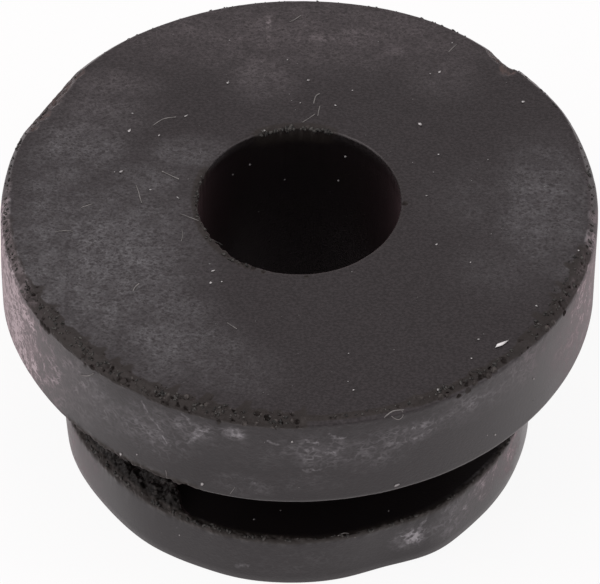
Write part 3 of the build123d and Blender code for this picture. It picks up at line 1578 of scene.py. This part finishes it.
class NodeBench:
    """Adds shader nodes to one material and wires them."""

    def __init__(self, name: str) -> None:
        """Start a material with an empty sheet.

        Args:
            name: Name of the material.
        """
        self.material = bpy.data.materials.new(name)
        self.material.use_nodes = True
        self.tree = self.material.node_tree
        self.tree.nodes.clear()
        self.output = self.add("ShaderNodeOutputMaterial")
        coordinates = self.add("ShaderNodeTexCoord").outputs["Object"]
        self.place = self.vector("SCALE", coordinates, scale=1.0 / MM)

    def add(self, kind: str, **settings: object) -> bpy.types.Node:
        """Add one node and set its properties.

        Args:
            kind: The node's type.
            **settings: Property names and values.

        Returns:
            The node.
        """
        node = self.tree.nodes.new(kind)
        for name, value in settings.items():
            setattr(node, name, value)
        return node

    def feed(self, target: Socket, value: object) -> None:
        """Wire an output to a socket, or set the socket's own value.

        Args:
            target: The input socket.
            value: An output socket, a number, a colour or a vector.
        """
        if isinstance(value, bpy.types.NodeSocket):
            self.tree.links.new(value, target)
        else:
            target.default_value = value

    def math(self, operation: str, first: object, second: object = 0.0) -> Socket:
        """One Math node.

        Args:
            operation: Name of the operation.
            first: First value or socket.
            second: Second value or socket.

        Returns:
            The result's socket.
        """
        node = self.add("ShaderNodeMath", operation=operation)
        self.feed(node.inputs[0], first)
        self.feed(node.inputs[1], second)
        return node.outputs[0]

    def product(self, *factors: object) -> object:
        """Multiply several numbers or sockets.

        Args:
            *factors: The numbers or sockets.

        Returns:
            The product's socket.
        """
        total = factors[0]
        for factor in factors[1:]:
            total = self.math("MULTIPLY", total, factor)
        return total

    def vector(
        self, operation: str, first: object, second: object = None, scale: object = None
    ) -> Socket:
        """One Vector Math node.

        Args:
            operation: Name of the operation.
            first: First vector or socket.
            second: Second vector or socket, where the operation takes one.
            scale: Number or socket that scales, where the operation takes one.

        Returns:
            The result's socket, a number for DISTANCE, LENGTH and DOT_PRODUCT.
        """
        node = self.add("ShaderNodeVectorMath", operation=operation)
        self.feed(node.inputs[0], first)
        if second is not None:
            self.feed(node.inputs[1], second)
        if scale is not None:
            self.feed(node.inputs["Scale"], scale)
        is_number = operation in ("DISTANCE", "LENGTH", "DOT_PRODUCT")
        return node.outputs["Value" if is_number else "Vector"]

    def off_axis(self) -> Socket:
        """Distance of the shaded place from the bore's axis, in millimetres."""
        return self.vector("LENGTH", self.vector("MULTIPLY", self.place, (1.0, 1.0, 0.0)))

    def attribute(self, name: str) -> Socket:
        """One of the numbers that the piece's vertices carry."""
        return self.add("ShaderNodeAttribute", attribute_name=name).outputs["Fac"]

    def noise(
        self, size: float, detail: float = 3.0, stretch: tuple[float, float, float] = (1, 1, 1),
        roughness: float = 0.6, shift: float = 0.0,
    ) -> Socket:
        """Noise over the object, with grains of a real size.

        Args:
            size: Size of a grain in millimetres.
            detail: Octaves of finer noise.
            stretch: How many times longer a grain is along each axis.
            roughness: Weight of the finer octaves.
            shift: Offset that gives another pattern.

        Returns:
            The noise's value, from 0 to 1.
        """
        scaled = self.vector("DIVIDE", self.place, tuple(size * s for s in stretch))
        moved = self.vector("ADD", scaled, (shift, shift * 0.7, shift * 1.3))
        node = self.add("ShaderNodeTexNoise")
        self.feed(node.inputs["Vector"], moved)
        self.feed(node.inputs["Scale"], 1.0)
        self.feed(node.inputs["Detail"], detail)
        self.feed(node.inputs["Roughness"], roughness)
        return node.outputs["Fac"]

    def wander(self, size: float, reach: float) -> Socket:
        """The shaded place, shifted a little one way or another so that straight marks bend.

        Args:
            size: Size of a bend in millimetres.
            reach: Length of the largest shift in millimetres.

        Returns:
            The shifted place.
        """
        node = self.add("ShaderNodeTexNoise")
        self.feed(node.inputs["Vector"], self.vector("DIVIDE", self.place, (size, size, size)))
        self.feed(node.inputs["Scale"], 1.0)
        shift = self.vector("SUBTRACT", node.outputs["Color"], (0.5, 0.5, 0.5))
        return self.vector("ADD", self.place, self.vector("SCALE", shift, scale=2.0 * reach))

    def marks(self, pattern: Pattern) -> Socket:
        """Marks of one pattern.

        Args:
            pattern: The pattern.

        Returns:
            A share that is 1 inside a mark and 0 between marks.
        """
        p = pattern
        grain = self.noise(p.size, p.detail, p.stretch, p.roughness, p.shift)
        return self.ease(grain, p.low, p.high)

    def curls(self, kinds: Sequence[Curl]) -> Socket:
        """Thin curling lines, as fine lint and smeared dust leave.

        Args:
            kinds: The curls to lay over one another.

        Returns:
            A share that is 1 on a line and 0 off it.
        """
        total = None
        for kind in kinds:
            wave = self.noise(kind.size, 1.0, (1.3, 1, 1), 0.5, kind.shift)
            off = self.math("ABSOLUTE", self.math("SUBTRACT", wave, 0.5))
            line = self.ease(off, kind.width, 0.0)
            total = line if total is None else self.math("MAXIMUM", total, line)
        return total

    def ease(self, value: object, low: float, high: float, to: float = 1.0) -> Socket:
        """Turn a value into a share that eases from 0 at low to a top value at high.

        Args:
            value: Number or socket.
            low: Value that gives 0.
            high: Value that gives the top value.
            to: The top value.

        Returns:
            The share's socket.
        """
        node = self.add("ShaderNodeMapRange", interpolation_type="SMOOTHSTEP")
        self.feed(node.inputs["Value"], value)
        self.feed(node.inputs["From Min"], low)
        self.feed(node.inputs["From Max"], high)
        self.feed(node.inputs["To Min"], 0.0)
        self.feed(node.inputs["To Max"], to)
        return node.outputs["Result"]

    def blend(self, share: object, first: object, second: object) -> Socket:
        """Mix two colours.

        Args:
            share: Share of the second colour.
            first: First colour or socket.
            second: Second colour or socket.

        Returns:
            The mixed colour's socket.
        """
        node = self.add("ShaderNodeMix", data_type="RGBA")
        self.feed(node.inputs[0], share)
        self.feed(node.inputs[6], as_colour(first))
        self.feed(node.inputs[7], as_colour(second))
        return node.outputs[2]

    def bump(self, height: Socket, distance: float) -> Socket:
        """One Bump node.

        Args:
            height: Height of the relief, from 0 to 1.
            distance: Millimetres that a height of 1 stands for.

        Returns:
            The bumped normal's socket.
        """
        node = self.add("ShaderNodeBump")
        self.feed(node.inputs["Height"], height)
        self.feed(node.inputs["Distance"], distance * MM)
        return node.outputs["Normal"]

    def close(self, shader: Socket) -> bpy.types.Material:
        """Wire the finished shader to the output and hand over the material.

        Args:
            shader: The shader's socket.

        Returns:
            The material.
        """
        self.tree.links.new(shader, self.output.inputs["Surface"])
        return self.material


def as_colour(value: object) -> object:
    """Add an alpha of 1 to a colour of three numbers, and leave a socket alone."""
    return (*value, 1.0) if isinstance(value, tuple) and len(value) == 3 else value


@dataclass(frozen=True)
class Haze:
    """A soft-edged pale patch of dust, which on the walls' far left and right is painted sheen as well:
    its pixel, half sizes in millimetres and strength.
    """

    pixel: Pixel
    across: float
    along: float
    strength: float


@dataclass(frozen=True)
class Scuff:
    """A pale line rubbed into the dust, between two pixels."""

    start: Pixel
    end: Pixel
    width: float
    strength: float


@dataclass(frozen=True)
class RubberFinish:
    """Black carbon-filled rubber with pale dust, scuffed walls and brown torn edges; painted shade
    darkens the groove, the bore, the pits and the web, and painted sheen lightens the walls' far sides.
    """

    sizes: CapSizes
    view: PhotoView
    rubber: Colour = (0.0012, 0.0010, 0.0010)
    film: Colour = (0.0170, 0.0146, 0.0155)
    dust: Colour = (0.335, 0.33, 0.345)
    pink_dust_and_sheen: Colour = (0.36, 0.307, 0.322)
    torn_skin: Colour = (0.0070, 0.0056, 0.0042)
    pit_brown_and_shade: Colour = (0.0045, 0.0034, 0.0028)
    torn_pale: Colour = (0.058, 0.052, 0.048)
    web_dark_and_shade: Colour = (0.0028, 0.0024, 0.0022)
    web_pale: Colour = (0.034, 0.031, 0.029)
    chipped: Colour = (0.070, 0.051, 0.047)
    tint: Colour = (1.0, 0.905, 0.935)
    wall_tint: Colour = (0.94, 0.845, 0.88)
    worn_tint: Colour = (0.86, 0.76, 0.73)
    pit_shade_tint: Colour = (0.62, 0.54, 0.52)
    web_shade_tint: Colour = (0.3, 0.275, 0.27)
    sheen: float = 0.08
    sheen_tint: Colour = (1.0, 0.62, 0.68)
    sheen_roughness: float = 0.4
    top_depth: float = 0.25
    wall_depth: float = 0.42
    wall_film: float = 0.15
    roughness: float = 0.36
    index: float = 1.5
    grain_size: float = 0.11
    grain_rise: float = 0.012
    film_limits: tuple[float, float] = (0.36, 0.66)
    sheen_side_limits: tuple[float, float] = (0.6, 0.92)
    rear_limits: tuple[float, float] = (2.0, 12.0)
    cloud: Pattern = Pattern(0.9, 4.0, 0.65, 2.0, 0.3, 0.7, (1.2, 1, 1))
    top_flecks: Pattern = Pattern(0.15, 3.0, 0.7, 9.0, 0.42, 0.75, (1.35, 1, 1))
    wall_flecks: Pattern = Pattern(0.22, 3.0, 0.7, 9.0, 0.42, 0.78, (1.3, 1, 1))
    blobs: Pattern = Pattern(0.36, 2.0, 0.6, 47.0, 0.54, 0.68, (1.5, 1.5, 0.7))
    patches: Pattern = Pattern(0.8, 3.0, 0.7, 41.0, 0.42, 0.66, (1.2, 1, 1))
    torn_mottle: Pattern = Pattern(0.22, 2.0, 0.6, 31.0, 0.4, 0.7)
    chip_mottle: Pattern = Pattern(0.24, 3.0, 0.6, 12.0, 0.4, 0.7)
    top_curls: tuple[Curl, ...] = (Curl(0.3, 5.0, 0.1), Curl(0.21, 17.0, 0.1))
    wall_curls: tuple[Curl, ...] = (Curl(0.62, 23.0, 0.07), Curl(0.45, 29.0, 0.07))
    top_haze: tuple[Haze, ...] = (
        Haze((105, 262), 5.2, 7.0, 0.9),
        Haze((165, 335), 3.2, 3.6, 0.8),
        Haze((210, 352), 2.2, 2.6, 0.5),
        Haze((80, 145), 3.0, 2.6, 0.75),
        Haze((95, 112), 3.4, 2.6, 0.45),
        Haze((40, 190), 1.6, 2.6, 0.5),
        Haze((150, 178), 2.6, 1.5, 0.6),
        Haze((190, 152), 2.6, 1.3, 0.65),
        Haze((118, 84), 2.6, 1.5, 0.5),
        Haze((545, 205), 3.0, 5.2, 0.7),
        Haze((575, 270), 1.4, 3.0, 0.5),
        Haze((505, 265), 3.0, 2.6, 0.25),
        Haze((480, 200), 3.0, 3.0, 0.22),
        Haze((262, 72), 2.2, 2.4, 0.55),
        Haze((268, 26), 0.22, 1.5, 1.3),
        Haze((322, 37), 1.5, 0.6, 0.8),
        Haze((362, 31), 2.0, 0.9, 0.6),
        Haze((392, 50), 1.0, 0.6, 0.8),
        Haze((440, 70), 2.4, 2.4, 0.35),
        # A broad band that makes the whole rear of the top face paler.
        Haze((300, 32), 13.0, 3.4, 0.5),
        Haze((55, 250), 3.0, 6.5, 0.8),
        Haze((60, 170), 2.5, 3.5, 0.55),
        Haze((130, 215), 4.0, 3.4, 0.5),
        Haze((240, 370), 2.4, 2.0, 0.35),
    )
    wall_haze_and_sheen: tuple[Haze, ...] = (
        # The strong patches at the walls' far left and right are dust and painted sheen: pale brightness
        # where the walls turn away from view.
        Haze((9, 303), 5.0, 6.5, 5.5),
        Haze((37, 355), 3.4, 3.2, 1.6),
        Haze((588, 290), 4.4, 5.5, 2.0),
        Haze((75, 385), 3.4, 2.6, 0.8),
        Haze((115, 415), 3.0, 1.6, 0.5),
        Haze((300, 450), 8.0, 1.8, 0.15),
        Haze((480, 398), 3.4, 1.3, 0.6),
        Haze((525, 365), 3.0, 1.6, 0.7),
        Haze((150, 428), 2.2, 2.0, 0.6),
        Haze((190, 430), 1.6, 1.1, 0.7),
        Haze((234, 433), 0.8, 0.5, 1.3),
        Haze((245, 482), 1.9, 1.0, 0.25),
        Haze((318, 452), 2.0, 1.2, 0.7),
        Haze((310, 480), 2.6, 0.9, 0.15),
        Haze((372, 450), 2.4, 1.6, 0.45),
        Haze((412, 432), 1.9, 0.9, 1.0),
        Haze((455, 415), 2.2, 0.8, 0.6),
        # Dust and painted sheen where the right wall turns away from view.
        Haze((568, 335), 2.4, 2.6, 1.0),
    )
    lower_haze_and_sheen: tuple[Haze, ...] = (
        Haze((410, 538), 1.1, 0.9, 1.8),
        Haze((455, 512), 1.9, 1.5, 1.1),
        Haze((487, 478), 1.9, 1.6, 1.5),
        Haze((511, 450), 1.8, 1.7, 1.7),
        Haze((300, 560), 5.0, 1.6, 0.1),
        # Dust and painted sheen where the lower wall's left side turns away from view.
        Haze((80, 450), 3.2, 3.0, 0.8),
    )
    wall_scuffs: tuple[Scuff, ...] = (
        Scuff((142, 402), (150, 417), 0.1, 1.2),
        Scuff((150, 417), (168, 442), 0.09, 1.5),
        Scuff((156, 436), (170, 446), 0.1, 0.7),
        Scuff((184, 416), (200, 429), 0.11, 1.1),
        Scuff((208, 429), (185, 443), 0.09, 1.1),
        Scuff((200, 432), (188, 440), 0.08, 0.9),
        Scuff((228, 431), (240, 434), 0.22, 0.9),
        Scuff((268, 442), (274, 443), 0.12, 1.4),
        Scuff((307, 441), (318, 443), 0.1, 1.2),
        Scuff((306, 449), (320, 451), 0.1, 1.2),
        Scuff((322, 452), (333, 453), 0.1, 1.2),
        Scuff((302, 469), (318, 470), 0.1, 1.1),
        Scuff((330, 435), (344, 438), 0.1, 1.2),
        Scuff((398, 437), (412, 428), 0.12, 1.1),
        Scuff((412, 438), (428, 430), 0.1, 0.9),
        Scuff((255, 482), (248, 492), 0.07, 1.1),
        Scuff((244, 478), (250, 486), 0.07, 0.9),
    )
    lower_scuffs: tuple[Scuff, ...] = (
        Scuff((424, 519), (411, 541), 0.13, 1.8),
        Scuff((416, 538), (404, 546), 0.2, 1.5),
        Scuff((489, 469), (479, 497), 0.09, 1.6),
        Scuff((497, 463), (489, 488), 0.08, 1.5),
        Scuff((505, 455), (498, 478), 0.08, 1.5),
        Scuff((513, 438), (508, 462), 0.1, 1.8),
        Scuff((470, 492), (463, 508), 0.08, 1.2),
        Scuff((236, 565), (246, 564), 0.14, 1.0),
    )

    def lay_haze(self, bench: NodeBench, patches: Sequence[Haze], radius: float | None) -> Socket:
        """How much pale dust lies here, by the patches of one face; on the walls' far left and right the
        strong patches also paint sheen.

        Args:
            bench: The material's nodes.
            patches: The patches.
            radius: Radius of the wall that carries them, or None for the top face.

        Returns:
            A number from 0 upwards.
        """
        total: object = 0.0
        for patch in patches:
            if radius is None:
                centre = self.view.on_level(patch.pixel, self.sizes.height)
                reach = (patch.across, patch.along, 0.6)
            else:
                centre = self.view.on_wall(patch.pixel, radius)
                reach = (patch.across, patch.across, patch.along)
            total = self.add_patch(bench, total, centre, reach, patch.strength)
        return total

    def add_patch(
        self, bench: NodeBench, total: object, centre: Vector, reach: Sequence[float], strength: float
    ) -> Socket:
        """Lay one soft patch over those before it.

        Args:
            bench: The material's nodes.
            total: What the patches before it give.
            centre: The patch's middle.
            reach: Its half sizes along X, Y and Z.
            strength: Its share at the middle.

        Returns:
            The larger of the two.
        """
        away = bench.vector("SUBTRACT", bench.place, tuple(centre))
        distance = bench.vector("LENGTH", bench.vector("DIVIDE", away, tuple(reach)))
        return bench.math("MAXIMUM", total, bench.ease(distance, 1.3, 0.2, strength))

    def scuff_share(self, bench: NodeBench) -> Socket:
        """How strongly a rubbed line shows here.

        Args:
            bench: The material's nodes.

        Returns:
            A number from 0 upwards.
        """
        s = self.sizes
        total: object = 0.0
        for scuffs, radius in (
            (self.wall_scuffs, s.rim_radius), (self.lower_scuffs, s.lower_flange_radius)
        ):
            for scuff in scuffs:
                start = self.view.on_wall(scuff.start, radius)
                end = self.view.on_wall(scuff.end, radius)
                distance = self.line_distance(bench, start, end - start)
                line = bench.ease(distance, scuff.width * 1.4, scuff.width * 0.2, scuff.strength)
                total = bench.math("MAXIMUM", total, line)
        return total

    def line_distance(self, bench: NodeBench, start: Vector, run: Vector) -> Socket:
        """Distance of the shaded place from a straight stretch.

        Args:
            bench: The material's nodes.
            start: One end of the stretch.
            run: The way from there to the other end.

        Returns:
            The distance in millimetres.
        """
        away = bench.vector("SUBTRACT", bench.wander(0.45, 0.36), tuple(start))
        along = bench.vector("DOT_PRODUCT", away, tuple(run / run.length_squared))
        held = bench.add("ShaderNodeClamp")
        bench.feed(held.inputs["Value"], along)
        foot = bench.vector("SCALE", tuple(run), scale=held.outputs[0])
        return bench.vector("DISTANCE", away, foot)

    def outer_faces(self, bench: NodeBench) -> tuple[Socket, Socket]:
        """Where the outer faces are: 1 on them and 0 inside the groove and the bore, where the film is
        left off as painted shade.

        Args:
            bench: The material's nodes.

        Returns:
            The share of the top face, and the share of the two walls.
        """
        s = self.sizes
        parts = bench.add("ShaderNodeSeparateXYZ")
        bench.feed(parts.inputs[0], bench.place)
        height = parts.outputs["Z"]
        radius = bench.off_axis()
        top = bench.ease(height, s.height - 0.7, s.height - 0.1)
        wall = bench.ease(radius, s.rim_radius - 0.6, s.rim_radius - 0.35)
        lower = bench.product(
            bench.ease(radius, s.lower_flange_radius - 0.4, s.lower_flange_radius - 0.2),
            bench.ease(height, s.ledge + 0.05, s.ledge - 0.1),
        )
        return top, bench.math("MAXIMUM", wall, lower)

    def top_dust(self, bench: NodeBench) -> Socket:
        """How much pale dust covers the top face here, in fine curls and flecks.

        Args:
            bench: The material's nodes.

        Returns:
            A share from 0 upwards.
        """
        haze = self.lay_haze(bench, self.top_haze, None)
        cloud = bench.marks(self.cloud)
        flecks = bench.marks(self.top_flecks)
        curls = bench.curls(self.top_curls)
        fine = bench.math("ADD", bench.product(flecks, 0.75), bench.product(curls, 0.6))
        body = bench.math("ADD", bench.product(cloud, 0.08), 0.1)
        thick = bench.math("ADD", bench.product(cloud, 0.7), 0.42)
        spread = bench.math("ADD", body, bench.product(fine, thick))
        return bench.math("ADD", bench.product(haze, spread), bench.product(flecks, 0.03))

    def wall_dust_and_sheen(self, bench: NodeBench) -> Socket:
        """How much pale dust covers the walls here, in coarse hooks, blobs and rubbed lines, with painted
        sheen at the walls' far left and right.

        Args:
            bench: The material's nodes.

        Returns:
            A share from 0 upwards.
        """
        haze = bench.math(
            "MAXIMUM",
            self.lay_haze(bench, self.wall_haze_and_sheen, self.sizes.rim_radius),
            self.lay_haze(bench, self.lower_haze_and_sheen, self.sizes.lower_flange_radius),
        )
        flecks = bench.marks(self.wall_flecks)
        patches = bench.marks(self.patches)
        hooks = bench.product(bench.curls(self.wall_curls), 0.8)
        marks = bench.math("MAXIMUM", hooks, bench.marks(self.blobs))
        marks = bench.math("ADD", marks, bench.product(flecks, 0.4))
        spread = bench.math("ADD", bench.product(marks, bench.math("ADD", patches, 0.25)), 0.13)
        rubbed = bench.product(self.scuff_share(bench), bench.math("ADD", flecks, 0.35))
        faint = bench.product(flecks, 0.03)
        return bench.math("ADD", bench.math("ADD", bench.product(haze, spread), rubbed), faint)

    def dust_and_sheen_colour(self, bench: NodeBench, walls: Socket) -> Socket:
        """Colour of the dust and the painted sheen: neutral in front and pinkish at the rear; on the
        walls' left and right sides the pink paints the pinkish grazing sheen seen there.

        Args:
            bench: The material's nodes.
            walls: Share of the walls.

        Returns:
            The colour.
        """
        parts = bench.add("ShaderNodeSeparateXYZ")
        bench.feed(parts.inputs[0], bench.place)
        # 1 on the walls' left and right sides as seen from the front, where the pink is painted sheen.
        grazing_side = bench.math("DIVIDE", bench.math("ABSOLUTE", parts.outputs["X"]), bench.off_axis())
        grazing_side = bench.ease(grazing_side, *self.sheen_side_limits)
        rear = bench.ease(parts.outputs["Y"], *self.rear_limits)
        pink = bench.math("MAXIMUM", bench.product(grazing_side, walls), rear)
        return bench.blend(pink, self.dust, self.pink_dust_and_sheen)

    def torn_colours(self, bench: NodeBench, colour: Socket, walls: Socket) -> tuple[Socket, Socket]:
        """Lay the torn places over a colour: dark pits, paler lumps and the dark web; the pits' darker
        brown is partly painted shade, and the web's dark colour paints the shade of its rough torn face.

        Args:
            bench: The material's nodes.
            colour: Colour of the sound rubber with its dust.
            walls: Share of the walls.

        Returns:
            The new colour, and the tint that dims the gloss of torn rubber, further in the pits and on
            the web as painted shade.
        """
        relief = bench.attribute("relief")
        tear = bench.ease(bench.attribute("tear"), 0.05, 0.4)
        web = bench.ease(bench.attribute("web_share"), 0.05, 0.5)
        mottle = bench.marks(self.torn_mottle)
        pit = bench.product(bench.ease(relief, 0.42, 0.1), tear)
        lump = bench.product(bench.ease(relief, 0.58, 0.9), tear, mottle)
        worn = bench.product(tear, 0.75)
        colour = bench.blend(worn, colour, self.torn_skin)
        # Pits: a darker brown, painted shade in the pits as well as the torn rubber's brown.
        colour = bench.blend(pit, colour, self.pit_brown_and_shade)
        colour = bench.blend(lump, colour, self.torn_pale)
        spots = bench.product(bench.ease(relief, 0.55, 1.0), mottle)
        # The web's dark colour, and its dimmed gloss below, paint the shade of its rough torn face.
        colour = bench.blend(web, colour, bench.blend(spots, self.web_dark_and_shade, self.web_pale))
        tint = bench.blend(worn, bench.blend(walls, self.tint, self.wall_tint), self.worn_tint)
        # The pits' gloss is dimmed: painted shade in the pits.
        tint = bench.blend(pit, tint, self.pit_shade_tint)
        return colour, bench.blend(web, tint, self.web_shade_tint)

    def material(self) -> bpy.types.Material:
        """Make the rubber's material.

        Returns:
            The material.
        """
        bench = NodeBench("black_rubber")
        grain = bench.noise(self.grain_size, 3.0, (1.4, 1, 1), roughness=0.6, shift=4.0)
        top, walls = self.outer_faces(bench)
        # The paler film covers the top, and a small share of the walls; the groove and the bore get none
        # and stay near black, painted shade in the recesses.
        film_share_outside_shade = bench.math("MAXIMUM", top, bench.product(walls, self.wall_film))
        filmed = bench.product(film_share_outside_shade, bench.ease(grain, *self.film_limits))
        clean = bench.blend(filmed, self.rubber, self.film)
        # On the walls this share carries painted sheen at their far left and right, as well as dust.
        dust_and_sheen_share = bench.math(
            "MAXIMUM",
            bench.product(self.top_dust(bench), top, self.top_depth),
            bench.product(self.wall_dust_and_sheen(bench), walls, self.wall_depth),
        )
        colour = bench.blend(dust_and_sheen_share, clean, self.dust_and_sheen_colour(bench, walls))
        chip_mottle = bench.math("ADD", bench.marks(self.chip_mottle), 0.1)
        chip = bench.product(bench.attribute("chip"), chip_mottle)
        colour = bench.blend(chip, colour, self.chipped)
        colour, tint = self.torn_colours(bench, colour, walls)
        shader = bench.add("ShaderNodeBsdfPrincipled")
        bench.feed(shader.inputs["Base Color"], colour)
        bench.feed(shader.inputs["Specular Tint"], tint)
        worn = bench.product(bench.attribute("tear"), 0.3)
        matt = bench.math("ADD", bench.math("ADD", dust_and_sheen_share, worn), bench.product(chip, 0.5))
        bench.feed(shader.inputs["Roughness"], bench.math("ADD", matt, self.roughness))
        shader.inputs["IOR"].default_value = self.index
        shader.inputs["Sheen Weight"].default_value = self.sheen
        shader.inputs["Sheen Roughness"].default_value = self.sheen_roughness
        shader.inputs["Sheen Tint"].default_value = as_colour(self.sheen_tint)
        bench.feed(shader.inputs["Normal"], bench.bump(grain, self.grain_rise))
        return bench.close(shader.outputs["BSDF"])


@dataclass(frozen=True)
class GrainFinish:
    """Matt finish of small loose grains, each a little lighter or darker than the next."""

    name: str
    dark: Colour
    pale: Colour
    patch: float
    roughness: float = 0.75
    index: float = 1.45

    def material(self) -> bpy.types.Material:
        """Make the grains' material.

        Returns:
            The material.
        """
        bench = NodeBench(self.name)
        shade = bench.marks(Pattern(self.patch, 1.0, 0.6, 6.0, 0.35, 0.68))
        shader = bench.add("ShaderNodeBsdfPrincipled")
        bench.feed(shader.inputs["Base Color"], bench.blend(shade, self.dark, self.pale))
        shader.inputs["Roughness"].default_value = self.roughness
        shader.inputs["IOR"].default_value = self.index
        return bench.close(shader.outputs["BSDF"])


@dataclass(frozen=True)
class SoftLamp:
    """One soft lamp: where it stands, how wide it is and how strong."""

    name: str
    azimuth: float
    elevation: float
    distance: float
    width: float
    power: float

    def place(self, target: Vector) -> None:
        """Stand the lamp and aim it.

        Args:
            target: The point that it faces, in millimetres.
        """
        turn, lift = math.radians(self.azimuth), math.radians(self.elevation)
        away = Vector(
            (math.cos(turn) * math.cos(lift), math.sin(turn) * math.cos(lift), math.sin(lift))
        )
        clear_selection()
        bpy.ops.object.light_add(type="AREA", location=(target + away * self.distance) * MM)
        lamp = bpy.context.active_object
        lamp.name = self.name
        lamp.rotation_euler = away.to_track_quat("Z", "Y").to_euler()
        lamp.data.size = self.width * MM
        lamp.data.energy = self.power


@dataclass(frozen=True)
class Studio:
    """White table and soft white surround, with a stronger soft lamp on the left."""

    foot_radius: float
    floor_size: float = 4000.0
    floor_colour: Colour = (0.88, 0.82, 0.83)
    floor_show: float = 0.9
    shade_inset: float = 1.0
    shade_edge: float = 0.2
    sky_colour: Colour = (1.0, 0.955, 0.96)
    sky_strength: float = 0.7
    lamps: tuple[SoftLamp, ...] = (
        SoftLamp("left_lamp", azimuth=202.0, elevation=48.0, distance=520.0, width=420.0, power=1.2),
        SoftLamp("right_lamp", azimuth=335.0, elevation=50.0, distance=520.0, width=420.0, power=0.5),
    )

    def build(self) -> None:
        """Lay the floor and light the scene."""
        self.lay_floor()
        self.light_world()
        for lamp in self.lamps:
            lamp.place(Vector((0.0, 0.0, 6.0)))

    def lay_floor(self) -> None:
        """Lay one wide pale floor, nearly pure white to the camera and unlit under the cap."""
        clear_selection()
        bpy.ops.mesh.primitive_plane_add(size=self.floor_size * MM)
        floor = bpy.context.active_object
        floor.name = "floor"
        bench = NodeBench("pale_floor")
        plain = bench.add("ShaderNodeBsdfDiffuse")
        bench.feed(plain.inputs["Color"], as_colour(self.floor_colour))
        white = bench.add("ShaderNodeEmission")
        bench.feed(white.inputs["Strength"], 1.0)
        shown = bench.add("ShaderNodeMixShader")
        away = bench.vector("LENGTH", bench.place)
        inner, outer = self.foot_radius - self.shade_inset, self.foot_radius - self.shade_edge
        open_floor = bench.ease(away, inner, outer, self.floor_show)
        bench.feed(shown.inputs[0], open_floor)
        bench.feed(shown.inputs[1], plain.outputs[0])
        bench.feed(shown.inputs[2], white.outputs[0])
        path = bench.add("ShaderNodeLightPath")
        seen = bench.math("MAXIMUM", path.outputs["Is Camera Ray"], path.outputs["Is Transmission Ray"])
        seen = bench.math("MAXIMUM", seen, path.outputs["Is Glossy Ray"])
        choice = bench.add("ShaderNodeMixShader")
        bench.feed(choice.inputs[0], seen)
        bench.feed(choice.inputs[1], plain.outputs[0])
        bench.feed(choice.inputs[2], shown.outputs[0])
        floor.data.materials.append(bench.close(choice.outputs[0]))

    def light_world(self) -> None:
        """Give the world an even, nearly white light."""
        world = bpy.data.worlds.new("white_surround")
        world.use_nodes = True
        sky = world.node_tree.nodes["Background"]
        sky.inputs["Color"].default_value = as_colour(self.sky_colour)
        sky.inputs["Strength"].default_value = self.sky_strength
        bpy.context.scene.world = world


def report(piece: bpy.types.Object) -> None:
    """Log one piece's name and number of triangles."""
    triangles = sum(len(face.vertices) - 2 for face in piece.data.polygons)
    LOG.info("%s: %d triangles", piece.name, triangles)


def main() -> None:
    """Build the cap, its dust and the studio, and report each piece."""
    logging.basicConfig(level=logging.INFO, format="%(name)s: %(message)s")
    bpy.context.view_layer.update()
    sizes = CapSizes.from_frame()
    view = PhotoView()
    cap = RubberCap(sizes, view)
    report(cap.build())
    cap.dress(RubberFinish(sizes, view).material())
    skin = Skin(cap.piece, view)
    flake = GrainFinish("white_flake", (0.55, 0.54, 0.54), (0.78, 0.76, 0.76), 0.3)
    mote = GrainFinish("white_dust", (0.26, 0.25, 0.25), (0.46, 0.44, 0.44), 0.3)
    # The grey finish also covers the white motes in the bore and the groove, as painted shade.
    speck = GrainFinish("grey_dust_and_shade", (0.10, 0.095, 0.095), (0.24, 0.23, 0.23), 0.5)
    crumb = GrainFinish("rubber_crumb", (0.008, 0.007, 0.0066), (0.062, 0.057, 0.053), 0.16)
    fibre = GrainFinish("pale_lint", (0.11, 0.102, 0.1), (0.2, 0.187, 0.182), 0.6)
    shred = GrainFinish("dark_shred", (0.006, 0.0045, 0.004), (0.014, 0.010, 0.009), 0.3)
    report(Crumbs(skin, sizes).build(crumb.material()))
    for piece in Dust(skin, sizes).build(flake.material(), mote.material(), speck.material()):
        report(piece)
    report(Lint(skin, "lint_fibres", list(Strand)).build(fibre.material()))
    report(Lint(skin, "dark_shreds", list(DarkStrand)).build(shred.material()))
    Studio(sizes.lower_flange_radius).build()
    view.add_camera()
    bpy.context.scene.view_settings.view_transform = "Standard"


if __name__ == "__main__":
    main()
